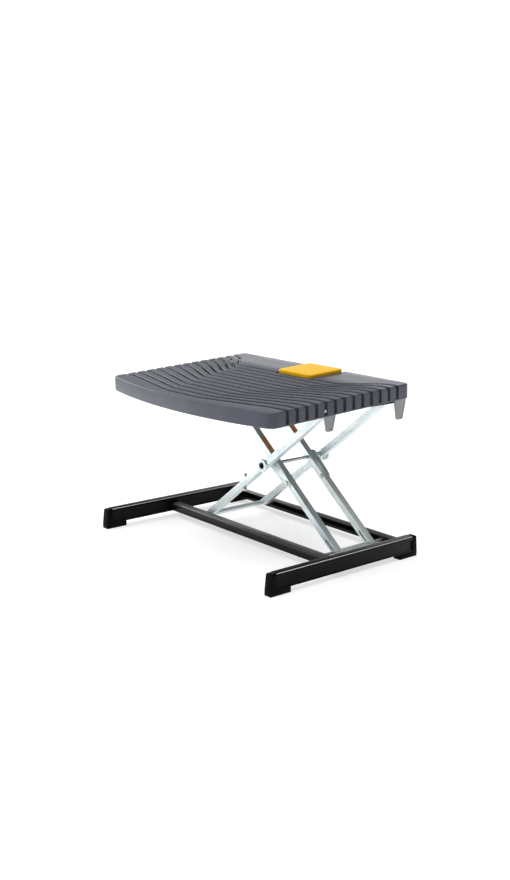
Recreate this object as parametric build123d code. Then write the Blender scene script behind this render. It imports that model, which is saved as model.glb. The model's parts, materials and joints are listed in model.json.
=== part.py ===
from build123d import *
import os
from math import cos, hypot, radians, sin

# A foot-operated scissor footrest: two feet joined by two cross rails, two pairs of crossed
# arms, an upper frame with a locking gas spring, and a ribbed plate that tilts.
# The origin is at the middle of the bounding box, on the floor. X runs from side to side,
# Y from the low front edge to the pedal, Z up.

# Driving dimensions, millimetres
foot_length = 370.0
foot_width = 16.7
foot_height = 40.5
plate_bow = 24.0
plate_corner_set_back = 6.0
plate_tilt = 2.97
plate_overhang = 14.9
arm_pitch = 438.0
rest_angle = 38.7
arm_depth = 13.0
arm_width = 14.0
pivot_height = 21.5
pivot_inset = 45.8
linkage_offset = 24.94

# Clearances
slide_gap = 0.3
running_gap = 0.06
seat_gap = 0.02
deck_gap = 0.84
skirt_gap = 0.75
overrun = 2.0

# Foot beam: a box section with a shallow recess on each face
pad_height = 10.5
pad_length = 47.0
sole_thickness = 1.5
cap_length = 14.0
cap_lean = 3.0
cap_edge = 2.5
spigot_length = 12.0
beam_wall = 1.8
beam_edge = 4.0
panel_depth = 1.2
panel_low = 12.5
panel_high = 33.0

# Lower rail: an extruded section with a slot that faces the middle
rail_set_in = 7.5
rail_width = 18.0
rail_height = 17.5
rail_roof = 2.0
rail_wall = 2.5
rail_edge = 5.0
slot_height = 9.0
chamber_height = 2.5
rail_line_width = 1.2
rail_line_depth = 0.8
rail_line_height = 5.5

# Scissor
arm_wall = 1.5
arm_gap = 1.0
arm_spread = 16.0
inner_near = 37.0
axle_radius = 3.3
stub_radius = 3.0
cross_tube_radius = 5.0
cross_tube_wall = 1.5
lower_tube_radius = 6.0
end_slot_length = 25.0
end_slot_width = 4.4
end_slot_start = 6.0
pivot_plate_above = 19.0
pivot_plate_below = 58.0
pivot_plate_width = 15.0
pivot_plate_thickness = 3.0
bolt_drop = 50.0
bolt_head_radius = 4.2
bolt_head_height = 3.0
bolt_radius = 2.5
spacer_radius = 6.5
hub_radius = 13.0
hub_thickness = 3.5
hub_edge = 1.0
hub_cap_radius = 6.0
hub_cap_thickness = 2.0
screw_from_centre = 59.6
screw_above = 16.3
screw_below = 16.6
screw_radius = 2.2
screw_head_radius = 4.0
screw_head_height = 2.5
nut_radius = 4.4
nut_height = 4.0
nut_rise = 0.5

# Slide blocks and anchors
block_length = 14.0
block_depth = 14.0
anchor_length = 24.0

# Upper frame
upper_rail_height = 10.4
upper_rail_wall = 1.5
rail_past_pivot = 15.5
rail_past_carriage = 80.07
plate_past_rail = 8.95
plate_rear_inset = 8.9
crossbar_thickness = 4.0
crossbar_set_back = 2.5
bridge_width = 24.0
bridge_thickness = 2.2
bridge_clearance = 0.45
bridge_rear_inset = 13.5
tab_thickness = 4.5
tab_top_width = 29.0
tab_bottom_width = 16.0
tab_drop = 36.4
tab_rise = 4.6
tab_round = 4.0
tilt_before_rail = 23.3
tilt_depth = 17.0
tilt_pin_radius = 2.0
tilt_boss_radius = 3.4
tilt_lug_radius = 4.4
tilt_lug_thickness = 7.0
tilt_head_radius = 2.7
tilt_head_height = 1.6
pin_head_radius = 6.0
pin_head_height = 2.6

# Gas spring, lying along X under the plate
rod_free = 105.35
cylinder_radius = 11.0
cylinder_wall = 1.5
cylinder_length = 183.0
gland_length = 8.0
rod_radius = 4.0
piston_thickness = 8.0
piston_from_gland = 91.0
eye_radius = 6.3
eye_width = 10.0
eye_reach = 14.0
eye_neck_radius = 5.0
valve_block_length = 18.0
tongue_width = 6.4
tongue_height = 10.7
tongue_length = 18.0
clevis_hole_set = 12.0
clevis_pin_radius = 3.0
clevis_cheek = 3.0
clevis_base = 2.5
clevis_base_width = 21.0

# Release lever under the cylinder
lever_thickness = 4.0
lever_width = 8.0
lever_boss_radius = 4.0
lever_from_block = 18.0
lever_long_arm = 102.0
lever_short_arm = 30.0
lever_foot_length = 14.0
lever_foot_margin = 3.8
lever_pin_radius = 2.0
clamp_width = 12.0
clamp_wall = 2.0
clamp_cheek = 3.6
clamp_foot = 4.5
button_radius = 2.5
button_inside = 8.0
button_from_pivot = 25.0

# Foot plate
deck_thickness = 12.0
skirt_wall = 4.0
front_corner = 18.0
rear_corner = 12.0
plate_edge = 2.5
groove_count = 13
groove_width = 6.0
groove_depth = 7.0
groove_side_start = 39.0
groove_side_end = 34.8
groove_before_pedal = 4.8
groove_bend_first = 45.0
groove_bend_last = 143.0
groove_edge_run = 26.0
side_slot_depth = 2.5
side_slot_foot = 3.0

# Pedal, set in a well in the plate
pedal_offset = 16.0
pedal_width = 86.0
pedal_from_rear = 5.0
pedal_depth = 88.0
pedal_rise = 6.0
pedal_sink = 1.5
pedal_wall = 2.5
pedal_corner = 8.0
pedal_edge = 2.0
well_depth = 8.0
well_gap = 1.2
pedal_axis_from_rear = 4.0
pedal_axis_depth = 3.0
pedal_barrel_radius = 2.6
pedal_pin_radius = 1.6
pedal_pin_overreach = 5.0
lug_offset = 27.35
lug_width = 9.0
lug_depth = 7.0
lug_behind_cylinder = 4.2
lug_gap = 2.0
spring_strip = 1.0
spring_width = 14.0
spring_foot = 12.0
spring_reach = 34.0
spring_set_back = 60.0

# Places that follow from the sizes above
angle = radians(rest_angle)
tilt = radians(plate_tilt)
centre_x = linkage_offset
right_x = centre_x + arm_pitch * cos(angle) / 2
left_x = centre_x - arm_pitch * cos(angle) / 2
half_gap = right_x + pivot_inset
upper_z = pivot_height + arm_pitch * sin(angle)
centre_z = (pivot_height + upper_z) / 2
inner_far = inner_near + arm_width
outer_near = inner_far + arm_spread
outer_far = outer_near + arm_width
rail_near = outer_far + arm_gap
rail_far = rail_near + rail_width
rail_top = pad_height + rail_height
front_y = (plate_overhang - foot_length) / 2
middle_y = front_y + foot_length - rail_set_in - rail_far
upper_half = upper_rail_height / 2
upper_slot = upper_rail_height - 2 * upper_rail_wall
upper_top = upper_z + upper_half
rail_left = left_x - rail_past_carriage
rail_right = right_x + rail_past_pivot
rail_front = middle_y - rail_far
crossbar_right = rail_right - crossbar_set_back
crossbar_left = crossbar_right - crossbar_thickness
eye_end = left_x + eye_reach
cylinder_left = eye_end + rod_free
cylinder_right = cylinder_left + cylinder_length
block_right = cylinder_right + valve_block_length
lever_x = cylinder_right - lever_from_block
lever_top = upper_z - cylinder_radius - clamp_wall - slide_gap - lever_boss_radius + lever_thickness / 2
lever_z = lever_top - lever_thickness / 2
button_x = lever_x + button_from_pivot
plate_half = plate_past_rail - rail_left
plate_height = upper_top + deck_gap + deck_thickness
plate_front = front_y + plate_bow * cos(tilt) - plate_overhang
plate_rear = (middle_y + rail_far - plate_rear_inset - plate_front) / cos(tilt)
plate_skirt = (plate_height + plate_rear * sin(tilt) - upper_top - skirt_gap) / cos(tilt)
tilt_set_back = (rail_front - tilt_before_rail - plate_front - tilt_depth * sin(tilt)) / cos(tilt)
pedal_rear = plate_rear - pedal_from_rear
pedal_front = pedal_rear - pedal_depth
groove_centre_pitch = (pedal_front - groove_before_pedal) / (groove_count - 1)
groove_side_pitch = (plate_rear - groove_side_end - groove_side_start) / (groove_count - 1)
pedal_left = pedal_offset - pedal_width / 2
pedal_right = pedal_offset + pedal_width / 2
pedal_axis = pedal_rear - pedal_axis_from_rear
deck_floor = -deck_thickness
plate_place = Pos(0, plate_front, plate_height) * Rot(plate_tilt, 0, 0)
tilt_point = plate_place * Pos(0, tilt_set_back, -tilt_depth)
tilt_y = tilt_point.position.Y
tilt_z = tilt_point.position.Z


def box(x0, x1, y0, y1, z0, z1):
    """A plain block between two values on each axis."""
    middle = Pos((x0 + x1) / 2, (y0 + y1) / 2, (z0 + z1) / 2)
    return middle * Box(abs(x1 - x0), abs(y1 - y0), abs(z1 - z0))


def bar_x(y, z, x0, x1, radius):
    """A round bar along X."""
    return Pos((x0 + x1) / 2, y, z) * Rot(0, 90, 0) * Cylinder(radius, abs(x1 - x0))


def bar_y(x, z, y0, y1, radius):
    """A round bar along Y."""
    return Pos(x, (y0 + y1) / 2, z) * Rot(90, 0, 0) * Cylinder(radius, abs(y1 - y0))


def bar_z(x, y, z0, z1, radius):
    """A round bar along Z."""
    return Pos(x, y, (z0 + z1) / 2) * Cylinder(radius, abs(z1 - z0))


def prism_x(outline, x0, x1):
    """An outline of (y, z) points, or a sketch of them, run along X."""
    face = Plane((x0, 0, 0), x_dir=(0, 1, 0), z_dir=(1, 0, 0)) * outline
    return extrude(face, x1 - x0)


def prism_y(outline, y0, y1):
    """A sketch drawn in X and Z, run along Y."""
    face = Plane((0, y1, 0), x_dir=(1, 0, 0), z_dir=(0, -1, 0)) * outline
    return extrude(face, y1 - y0)


def outline_of(*points):
    """A flat face with straight sides."""
    return make_face(Polyline(*points, close=True))


def side_span(side, near, far):
    """Two Y values, at two distances from the linkage's middle plane. side is -1 front, 1 rear."""
    low, high = sorted((middle_y + side * near, middle_y + side * far))
    return low, high


def bar_side(side, near, far, x, z, radius):
    """A round bar along Y between two distances from the middle plane."""
    low, high = side_span(side, near, far)
    return bar_y(x, z, low, high, radius)


def box_side(side, near, far, x0, x1, z0, z1):
    """A block between two distances from the middle plane."""
    low, high = side_span(side, near, far)
    return box(x0, x1, low, high, z0, z1)


def along_inner(distance, across):
    """X and Z of a point on an inner arm: distance down from the centre, across its top side."""
    x = centre_x + distance * cos(angle) + across * sin(angle)
    z = centre_z - distance * sin(angle) + across * cos(angle)
    return x, z


def foot_section(inset):
    """The beam's outline about X = 0: a head, a shallow recess and a base, drawn in X and Z."""
    wide = foot_width / 2 - inset
    thin = wide - panel_depth
    low = pad_height + inset
    high = foot_height - inset
    right = [(wide, low), (wide, panel_low), (thin, panel_low + panel_depth),
             (thin, panel_high - panel_depth), (wide, panel_high), (wide, high)]
    left = [(-x, z) for x, z in reversed(right)]
    return outline_of(*right, *left)


def foot_head():
    """The rounded top of the foot, as an outline in X and Z."""
    half = foot_width / 2
    face = outline_of((half, 0), (half, foot_height), (-half, foot_height), (-half, 0))
    return fillet([v for v in face.vertices() if v.Y > panel_high], beam_edge)


def rounded_top(solid, radius, level):
    """Rounds the long edges along Y at one level."""
    edges = [edge for edge in solid.edges().filter_by(Axis.Y) if abs(edge.center().Z - level) < seat_gap]
    return fillet(edges, radius)


def foot_beam(side):
    """A closed box section that runs between the end caps."""
    start = front_y + cap_length
    end = front_y + foot_length - cap_length
    tube = rounded_top(prism_y(foot_section(0), start, end), beam_edge, foot_height)
    tube -= prism_y(foot_section(beam_wall), start - overrun, end + overrun)
    return Pos(side * (half_gap + foot_width / 2), 0, 0) * tube


def foot_cap(side, end):
    """A moulded cap with the pad under it and a spigot in the beam. end is -1 front, 1 rear."""
    shape = outline_of(
        (0, sole_thickness),
        (pad_length, sole_thickness),
        (pad_length, pad_height),
        (cap_length, pad_height),
        (cap_length, foot_height),
        (cap_lean, foot_height),
        (0, pad_height),
    )
    half = foot_width / 2
    top = [v for v in shape.vertices() if v.Y > foot_height - seat_gap]
    shape = fillet(min(top, key=lambda v: v.X), cap_edge)
    cap = prism_x(shape, -half, half)
    head = prism_y(foot_head(), -overrun, cap_length)
    foot = box(-half, half, -overrun, pad_length, 0, panel_high)
    cap = cap & (head + foot)
    fit = beam_wall + slide_gap
    thin = half - panel_depth - fit
    cap += box(-thin, thin, cap_length, cap_length + spigot_length, pad_height + fit, foot_height - fit)
    if end > 0:
        return Pos(side * (half_gap + half), front_y + foot_length, 0) * Rot(0, 0, 180) * cap
    return Pos(side * (half_gap + half), front_y, 0) * cap


def foot_soles():
    """Four thin rubber soles under the pads."""
    soles = []
    half = foot_width / 2
    for side in (-1, 1):
        middle = side * (half_gap + half)
        for start in (front_y, front_y + foot_length - pad_length):
            soles.append(box(middle - half, middle + half, start, start + pad_length, 0, sole_thickness))
    return soles


def lower_rail(side):
    """A cross rail with a roofed slot for the slide block and a closed chamber under it."""
    low, high = side_span(side, rail_near, rail_far)
    rail = box(-half_gap, half_gap, low, high, pad_height, rail_top)
    outer = middle_y + side * rail_far
    edge = [e for e in rail.edges().filter_by(Axis.X)
            if abs(e.center().Y - outer) < seat_gap and e.center().Z > rail_top - seat_gap]
    rail = fillet(edge, rail_edge)
    slot_top = pivot_height + slot_height / 2
    slot_foot = pivot_height - slot_height / 2
    rail -= box_side(side, rail_near - overrun, rail_far - rail_wall, -half_gap - overrun,
                     half_gap + overrun, slot_foot, slot_top)
    chamber_foot = pad_height + rail_roof
    rail -= box_side(side, rail_near + rail_wall, rail_far - rail_wall, -half_gap - overrun,
                     half_gap + overrun, chamber_foot, chamber_foot + chamber_height)
    line_foot = pad_height + rail_line_height
    rail -= box_side(side, rail_far - rail_line_depth, rail_far + overrun, -half_gap - overrun,
                     half_gap + overrun, line_foot, line_foot + rail_line_width)
    return rail


def rod_anchor(side):
    """A steel block that fills the lower slot and holds the pivot rod."""
    block = box_side(side, rail_near, rail_far - rail_wall, right_x - anchor_length / 2,
                     right_x + anchor_length / 2, pivot_height - slot_height / 2,
                     pivot_height + slot_height / 2)
    return block - bar_side(side, rail_near - overrun, rail_far, right_x, pivot_height,
                            axle_radius + seat_gap)


def lower_pivot_rod():
    """The fixed rod between the rails that the inner arms turn on."""
    reach = rail_far - rail_wall
    return bar_y(right_x, pivot_height, middle_y - reach, middle_y + reach, axle_radius)


def arm(side, near, rise):
    """A rectangular tube with round closed ends. rise is 1 for the outer arms, -1 for the inner."""
    low, high = side_span(side, near, near + arm_width)
    turn = Pos(centre_x, centre_z) * Rot(0, 0, rise * rest_angle)
    tube = prism_y(turn * SlotCenterToCenter(arm_pitch, arm_depth), low, high)
    core = turn * SlotCenterToCenter(arm_pitch, arm_depth - 2 * arm_wall)
    return tube - prism_y(core, low + arm_wall, high - arm_wall)


def inner_arm(side):
    """An inner arm: held on the centre axle, running on the pivot rod and the carriage axle."""
    solid = arm(side, inner_near, -1)
    holes = ((right_x, pivot_height, running_gap), (centre_x, centre_z, seat_gap),
             (left_x, upper_z, running_gap))
    for x, z, gap in holes:
        solid -= bar_side(side, inner_near - overrun, inner_far + overrun, x, z, axle_radius + gap)
    slot_middle = arm_pitch / 2 - end_slot_start - end_slot_length / 2
    x, z = along_inner(slot_middle, 0)
    slot = Pos(x, z) * Rot(0, 0, -rest_angle) * SlotOverall(end_slot_length, end_slot_width)
    front_face = side_span(side, inner_near, inner_far)[0]
    solid -= prism_y(slot, front_face - overrun, front_face + arm_wall + overrun)
    x, z = along_inner(bolt_drop, 0)
    solid -= bar_side(side, inner_near - overrun, inner_far + overrun, x, z, bolt_radius + seat_gap)
    return solid


def outer_arm(side):
    """An outer arm: holds the slide pin, runs on the centre axle and on its upper pin."""
    solid = arm(side, outer_near, 1)
    holes = ((left_x, pivot_height, stub_radius + seat_gap),
             (centre_x, centre_z, axle_radius + running_gap),
             (right_x, upper_z, axle_radius + running_gap))
    for x, z, radius in holes:
        solid -= bar_side(side, outer_near - overrun, outer_far + overrun, x, z, radius)
    if side < 0:
        x, y, z = stop_screw_point()
        solid -= bar_z(x, y, z - arm_depth, z + arm_depth, screw_radius + seat_gap)
    return solid


def inner_lower_tube():
    """The tube round the pivot rod that joins the inner arms."""
    low, high = middle_y - inner_near, middle_y + inner_near
    tube = bar_y(right_x, pivot_height, low, high, lower_tube_radius)
    return tube - bar_y(right_x, pivot_height, low - overrun, high + overrun, axle_radius + running_gap)


def pivot_plate(side):
    """A steel plate on the outer side of an inner arm that stiffens it at the centre axle."""
    length = pivot_plate_above + pivot_plate_below
    x, z = along_inner((pivot_plate_below - pivot_plate_above) / 2, 0)
    shape = Pos(x, z) * Rot(0, 0, -rest_angle) * SlotOverall(length, pivot_plate_width)
    low, high = side_span(side, inner_far, inner_far + pivot_plate_thickness)
    plate = prism_y(shape, low, high)
    plate -= bar_y(centre_x, centre_z, low - overrun, high + overrun, axle_radius + seat_gap)
    x, z = along_inner(bolt_drop, 0)
    return plate - bar_y(x, z, low - overrun, high + overrun, bolt_radius + seat_gap)


def plate_bolts():
    """One bolt through each inner arm and its pivot plate."""
    bolts = []
    x, z = along_inner(bolt_drop, 0)
    for side in (-1, 1):
        outer = inner_far + pivot_plate_thickness
        shank = bar_side(side, inner_near, outer, x, z, bolt_radius)
        low, high = side_span(side, outer, outer + bolt_head_height)
        head = prism_y(Pos(x, z) * RegularPolygon(bolt_head_radius, 6), low, high)
        low, high = side_span(side, inner_near - bolt_head_height, inner_near)
        nut = prism_y(Pos(x, z) * RegularPolygon(bolt_head_radius, 6), low, high)
        bolts.append(shank + head + nut)
    return bolts


def scissor_axle():
    """The centre axle through all four arms and both hubs."""
    reach = outer_far + hub_thickness - slide_gap
    return bar_y(centre_x, centre_z, middle_y - reach, middle_y + reach, axle_radius)


def axle_spacers():
    """A spacer between the arms of each side, on the centre axle."""
    rings = []
    for side in (-1, 1):
        low, high = side_span(side, inner_far + pivot_plate_thickness, outer_near - slide_gap)
        ring = bar_y(centre_x, centre_z, low, high, spacer_radius)
        rings.append(ring - bar_y(centre_x, centre_z, low - overrun, high + overrun,
                                  axle_radius + seat_gap))
    return rings


def outer_cross_tube():
    """The tube that joins the lower ends of the outer arms."""
    low, high = middle_y - outer_near, middle_y + outer_near
    tube = bar_y(left_x, pivot_height, low, high, cross_tube_radius)
    bore = cross_tube_radius - cross_tube_wall
    return tube - bar_y(left_x, pivot_height, low - overrun, high + overrun, bore)


def slide_pins():
    """Stub pins from the outer arms' lower ends into the slide blocks."""
    far = rail_near + block_depth
    return [bar_side(side, outer_near, far, left_x, pivot_height, stub_radius) for side in (-1, 1)]


def hub(side):
    """A round boss on the outer face of an outer arm, about the centre axle."""
    disc = bar_side(side, outer_far, outer_far + hub_thickness, centre_x, centre_z, hub_radius)
    rim = middle_y + side * (outer_far + hub_thickness)
    edge = [e for e in disc.edges().filter_by(GeomType.CIRCLE) if abs(e.center().Y - rim) < seat_gap]
    disc = fillet(edge, hub_edge)
    return disc - bar_side(side, outer_far - overrun, outer_far + hub_thickness + overrun,
                           centre_x, centre_z, axle_radius + running_gap)


def hub_caps():
    """Black plastic caps over the ends of the centre axle."""
    face = outer_far + hub_thickness
    return [bar_side(side, face, face + hub_cap_thickness, centre_x, centre_z, hub_cap_radius)
            for side in (-1, 1)]


def stop_screw_point():
    """Where the stop screw crosses the front outer arm's middle line."""
    x = centre_x - screw_from_centre
    z = centre_z - screw_from_centre * sin(angle) / cos(angle)
    return x, middle_y - outer_near - arm_width / 2, z


def stop_screw():
    """An upright screw through the front outer arm, with a round head."""
    x, y, z = stop_screw_point()
    shank = bar_z(x, y, z - screw_below, z + screw_above, screw_radius)
    return shank + bar_z(x, y, z + screw_above, z + screw_above + screw_head_height, screw_head_radius)


def stop_nut():
    """The nut near the stop screw's lower end."""
    x, y, z = stop_screw_point()
    foot = z - screw_below + nut_rise
    nut = Pos(x, y, foot) * extrude(RegularPolygon(nut_radius, 6), nut_height)
    return nut - bar_z(x, y, foot - overrun, foot + nut_height + overrun, screw_radius + seat_gap)


def slide_blocks(z, slot, bore):
    """A pair of plastic blocks that slide in the slots of two rails."""
    blocks = []
    half = slot / 2 - slide_gap
    for side in (-1, 1):
        near = rail_near + slide_gap
        block = box_side(side, near, rail_near + block_depth, left_x - block_length / 2,
                         left_x + block_length / 2, z - half, z + half)
        blocks.append(block - bar_side(side, near - overrun, rail_near + block_depth + overrun,
                                       left_x, z, bore))
    return blocks


def upper_rail(side):
    """A folded steel channel that opens towards the middle."""
    low, high = side_span(side, rail_near, rail_far)
    rail = box(rail_left, rail_right, low, high, upper_z - upper_half, upper_top)
    return rail - box_side(side, rail_near - overrun, rail_far - upper_rail_wall, rail_left - overrun,
                           rail_right + overrun, upper_z - upper_slot / 2, upper_z + upper_slot / 2)


def upper_anchors():
    """Steel blocks in the upper channels that hold the outer arms' upper pins."""
    blocks = []
    for side in (-1, 1):
        block = box_side(side, rail_near, rail_far - upper_rail_wall, right_x - anchor_length / 2,
                         right_x + anchor_length / 2, upper_z - upper_slot / 2,
                         upper_z + upper_slot / 2)
        blocks.append(block - bar_side(side, rail_near - overrun, rail_far, right_x, upper_z,
                                       axle_radius + seat_gap))
    return blocks


def upper_pins():
    """Headed pins that the outer arms' upper ends turn on."""
    pins = []
    for side in (-1, 1):
        near = outer_near - slide_gap
        pin = bar_side(side, near, rail_far - upper_rail_wall, right_x, upper_z, axle_radius)
        pins.append(pin + bar_side(side, near - pin_head_height, near, right_x, upper_z,
                                   pin_head_radius))
    return pins


def crossbar():
    """The flat bar that joins the upper rails at the right."""
    return box(crossbar_left, crossbar_right, middle_y - rail_near, middle_y + rail_near,
               upper_z - upper_half, upper_top)


def bridge_bar():
    """The strip that joins the upper rails at the left, bridged over the inner arms' ends."""
    foot = upper_z + arm_depth / 2 + bridge_clearance
    front = middle_y - rail_far
    rear = middle_y + rail_far - bridge_rear_inset
    strip = box(rail_left, rail_left + bridge_width, front, rear, upper_top, foot + bridge_thickness)
    gap = box(rail_left - overrun, rail_left + bridge_width + overrun, middle_y - rail_near,
              middle_y + rail_near, upper_top - overrun, foot)
    return strip - gap


def end_tab(side, end):
    """A grey plastic tab that closes a rail end and hangs below it. end is -1 left, 1 right."""
    middle = middle_y + side * (rail_near + rail_width / 2)
    top = upper_z + tab_rise
    foot = upper_z - tab_drop
    knee = upper_z - upper_half
    shape = outline_of(
        (middle - tab_top_width / 2, knee),
        (middle - tab_bottom_width / 2, foot),
        (middle + tab_bottom_width / 2, foot),
        (middle + tab_top_width / 2, knee),
        (middle + tab_top_width / 2, top),
        (middle - tab_top_width / 2, top),
    )
    shape = fillet([v for v in shape.vertices() if v.Y < foot + seat_gap], tab_round)
    face = rail_right if end > 0 else rail_left - tab_thickness
    return prism_x(shape, face, face + tab_thickness)


def tilt_bracket(end):
    """A lug on the front rail with a boss that reaches the plate's side wall."""
    inner = rail_right - tilt_lug_thickness if end > 0 else rail_left
    lug = box(inner, inner + tilt_lug_thickness, tilt_y, rail_front, upper_z - upper_half,
              max(upper_top, tilt_z))
    neck = box(inner, inner + tilt_lug_thickness, tilt_y - tilt_lug_radius, rail_front,
               tilt_z - tilt_lug_radius, tilt_z)
    eye = bar_x(tilt_y, tilt_z, inner, inner + tilt_lug_thickness, tilt_lug_radius)
    reach = end * (plate_half - skirt_wall - slide_gap)
    start = inner + tilt_lug_thickness if end > 0 else inner
    boss = bar_x(tilt_y, tilt_z, start, reach, tilt_boss_radius)
    bracket = lug + neck + eye + boss
    far_face = inner - overrun if end > 0 else inner + tilt_lug_thickness + overrun
    return bracket - bar_x(tilt_y, tilt_z, far_face, reach + overrun * end,
                           tilt_pin_radius + seat_gap)


def tilt_pins():
    """Screws through the plate's side walls that it tilts on."""
    pins = []
    for end in (-1, 1):
        seat = plate_half - side_slot_depth + slide_gap
        inner = rail_right - tilt_lug_thickness if end > 0 else -rail_left - tilt_lug_thickness
        shank = bar_x(tilt_y, tilt_z, end * inner, end * seat, tilt_pin_radius)
        head = bar_x(tilt_y, tilt_z, end * seat, end * (seat + tilt_head_height), tilt_head_radius)
        pins.append(shank + head)
    return pins


def gas_cylinder():
    """The cylinder's tube, open at both ends."""
    tube = bar_x(middle_y, upper_z, cylinder_left + gland_length, cylinder_right, cylinder_radius)
    return tube - bar_x(middle_y, upper_z, cylinder_left, cylinder_right + overrun,
                        cylinder_radius - cylinder_wall)


def gas_gland():
    """The ring that closes the cylinder round the rod."""
    ring = bar_x(middle_y, upper_z, cylinder_left, cylinder_left + gland_length, cylinder_radius)
    return ring - bar_x(middle_y, upper_z, cylinder_left - overrun,
                        cylinder_left + gland_length + overrun, rod_radius + running_gap)


def valve_block():
    """The square end block with the valve's bore and the tongue that is pinned to the frame."""
    low, high = middle_y - cylinder_radius, middle_y + cylinder_radius
    block = box(cylinder_right, block_right, low, high, upper_z - cylinder_radius,
                upper_z + cylinder_radius)
    half = tongue_width / 2
    block += box(block_right, block_right + tongue_length, middle_y - half, middle_y + half,
                 upper_z - tongue_height / 2, upper_z + tongue_height / 2)
    block -= bar_y(block_right + clevis_hole_set, upper_z, low, high, clevis_pin_radius + seat_gap)
    return block - bar_z(button_x, middle_y, upper_z - cylinder_radius - overrun,
                         upper_z - cylinder_radius + button_inside + overrun,
                         button_radius + running_gap)


def spring_clevis():
    """Two cheeks and a base on the crossbar, either side of the tongue."""
    near = tongue_width / 2 + slide_gap
    left = block_right + clevis_hole_set / 2
    foot, top = upper_z - upper_half, upper_top
    half = clevis_base_width / 2
    base = box(crossbar_left - clevis_base, crossbar_left, middle_y - half, middle_y + half, foot, top)
    for side in (-1, 1):
        base += box_side(side, near, near + clevis_cheek, left, crossbar_left, foot, top)
    reach = near + clevis_cheek + overrun
    return base - bar_y(block_right + clevis_hole_set, upper_z, middle_y - reach, middle_y + reach,
                        clevis_pin_radius + seat_gap)


def clevis_pin():
    """The pin through the clevis and the tongue."""
    reach = tongue_width / 2 + slide_gap + clevis_cheek + overrun
    return bar_y(block_right + clevis_hole_set, upper_z, middle_y - reach, middle_y + reach,
                 clevis_pin_radius)


def lever_clamp():
    """A band round the cylinder with two cheeks that carry the release lever."""
    left, right = lever_x - clamp_width / 2, lever_x + clamp_width / 2
    band = bar_x(middle_y, upper_z, left, right, cylinder_radius + clamp_wall)
    near = lever_width / 2 + slide_gap
    for side in (-1, 1):
        band += box_side(side, near, near + clamp_cheek, left, right, lever_z - clamp_foot,
                         upper_z - cylinder_radius + clamp_wall)
    band -= bar_x(middle_y, upper_z, left - overrun, right + overrun, cylinder_radius + seat_gap)
    reach = near + clamp_cheek + overrun
    return band - bar_y(lever_x, lever_z, middle_y - reach, middle_y + reach,
                        lever_pin_radius + seat_gap)


def lever_pin():
    """The release lever's pivot."""
    reach = lever_width / 2 + slide_gap + clamp_cheek
    return bar_y(lever_x, lever_z, middle_y - reach, middle_y + reach, lever_pin_radius)


def release_lever():
    """A flat rocking lever: the pedal's lug presses its foot, its short end lifts the button."""
    low, high = middle_y - lever_width / 2, middle_y + lever_width / 2
    foot = lever_z - lever_thickness / 2
    lever = box(lever_x - lever_long_arm, lever_x + lever_short_arm, low, high, foot, lever_top)
    foot_left = lever_x - lever_long_arm
    lug_rear = (plate_place * Pos(0, lug_s()[1], lug_foot())).position.Y
    lever += box(foot_left, foot_left + lever_foot_length, middle_y, lug_rear + lever_foot_margin,
                 foot, lever_top)
    lever += bar_y(lever_x, lever_z, low, high, lever_boss_radius)
    return lever - bar_y(lever_x, lever_z, low - overrun, high + overrun,
                         lever_pin_radius + running_gap)


def valve_button():
    """The button that opens the valve when it is pushed up."""
    return bar_z(button_x, middle_y, lever_top + slide_gap, upper_z - cylinder_radius + button_inside,
                 button_radius)


def carriage_axle():
    """The axle that joins the inner arms' upper ends and slides with them."""
    reach = rail_near + block_depth
    return bar_y(left_x, upper_z, middle_y - reach, middle_y + reach, axle_radius)


def rod_eye():
    """The eye at the end of the gas spring's rod, round the carriage axle."""
    half = eye_width / 2
    eye = bar_y(left_x, upper_z, middle_y - half, middle_y + half, eye_radius)
    eye += bar_x(middle_y, upper_z, left_x + axle_radius, eye_end, eye_neck_radius)
    return eye - bar_y(left_x, upper_z, middle_y - half - overrun, middle_y + half + overrun,
                       axle_radius + seat_gap)


def gas_rod():
    """The bright rod from the eye into the cylinder."""
    end = cylinder_left + gland_length + piston_from_gland
    return bar_x(middle_y, upper_z, eye_end, end, rod_radius)


def gas_piston():
    """The piston on the rod's inner end."""
    start = cylinder_left + gland_length + piston_from_gland
    bore = cylinder_radius - cylinder_wall
    return bar_x(middle_y, upper_z, start, start + piston_thickness, bore - slide_gap)


def plate_outline(inset):
    """The plate from above, with a bowed front edge. Drawn in X and distance from the front."""
    half = plate_half - inset
    front = plate_corner_set_back + inset
    rear = plate_rear - inset
    edges = ThreePointArc((-half, front), (0, inset - plate_bow), (half, front))
    edges += Polyline((half, front), (half, rear), (-half, rear), (-half, front))
    face = make_face(edges)
    fronts = [v for v in face.vertices() if v.Y < plate_rear / 2]
    face = fillet(fronts, front_corner - inset)
    rears = [v for v in face.vertices() if v.Y > rear - seat_gap]
    return fillet(rears, rear_corner - inset)


def groove_path(number):
    """The middle line of one groove: straight across, slanting back, then out to the side."""
    share = number / (groove_count - 1)
    bend = groove_bend_first + (groove_bend_last - groove_bend_first) * share
    centre = number * groove_centre_pitch
    side = groove_side_start + number * groove_side_pitch
    out = plate_half + overrun
    right = [(bend, centre), (plate_half - groove_edge_run, side), (out, side)]
    return [(-x, s) for x, s in reversed(right)] + right


def groove_outline(number):
    """A strip of one width along the groove's path, with mitred bends."""
    path = groove_path(number)
    normals = []
    for (x0, s0), (x1, s1) in zip(path, path[1:]):
        length = hypot(x1 - x0, s1 - s0)
        normals.append(((s0 - s1) / length, (x1 - x0) / length))
    upper, lower = [], []
    for place, (x, s) in enumerate(path):
        before = normals[max(place - 1, 0)]
        after = normals[min(place, len(normals) - 1)]
        nx, ns = before[0] + after[0], before[1] + after[1]
        scale = groove_width / (nx * nx + ns * ns)
        upper.append((x + nx * scale, s + ns * scale))
        lower.append((x - nx * scale, s - ns * scale))
    return outline_of(*upper, *reversed(lower))


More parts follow.
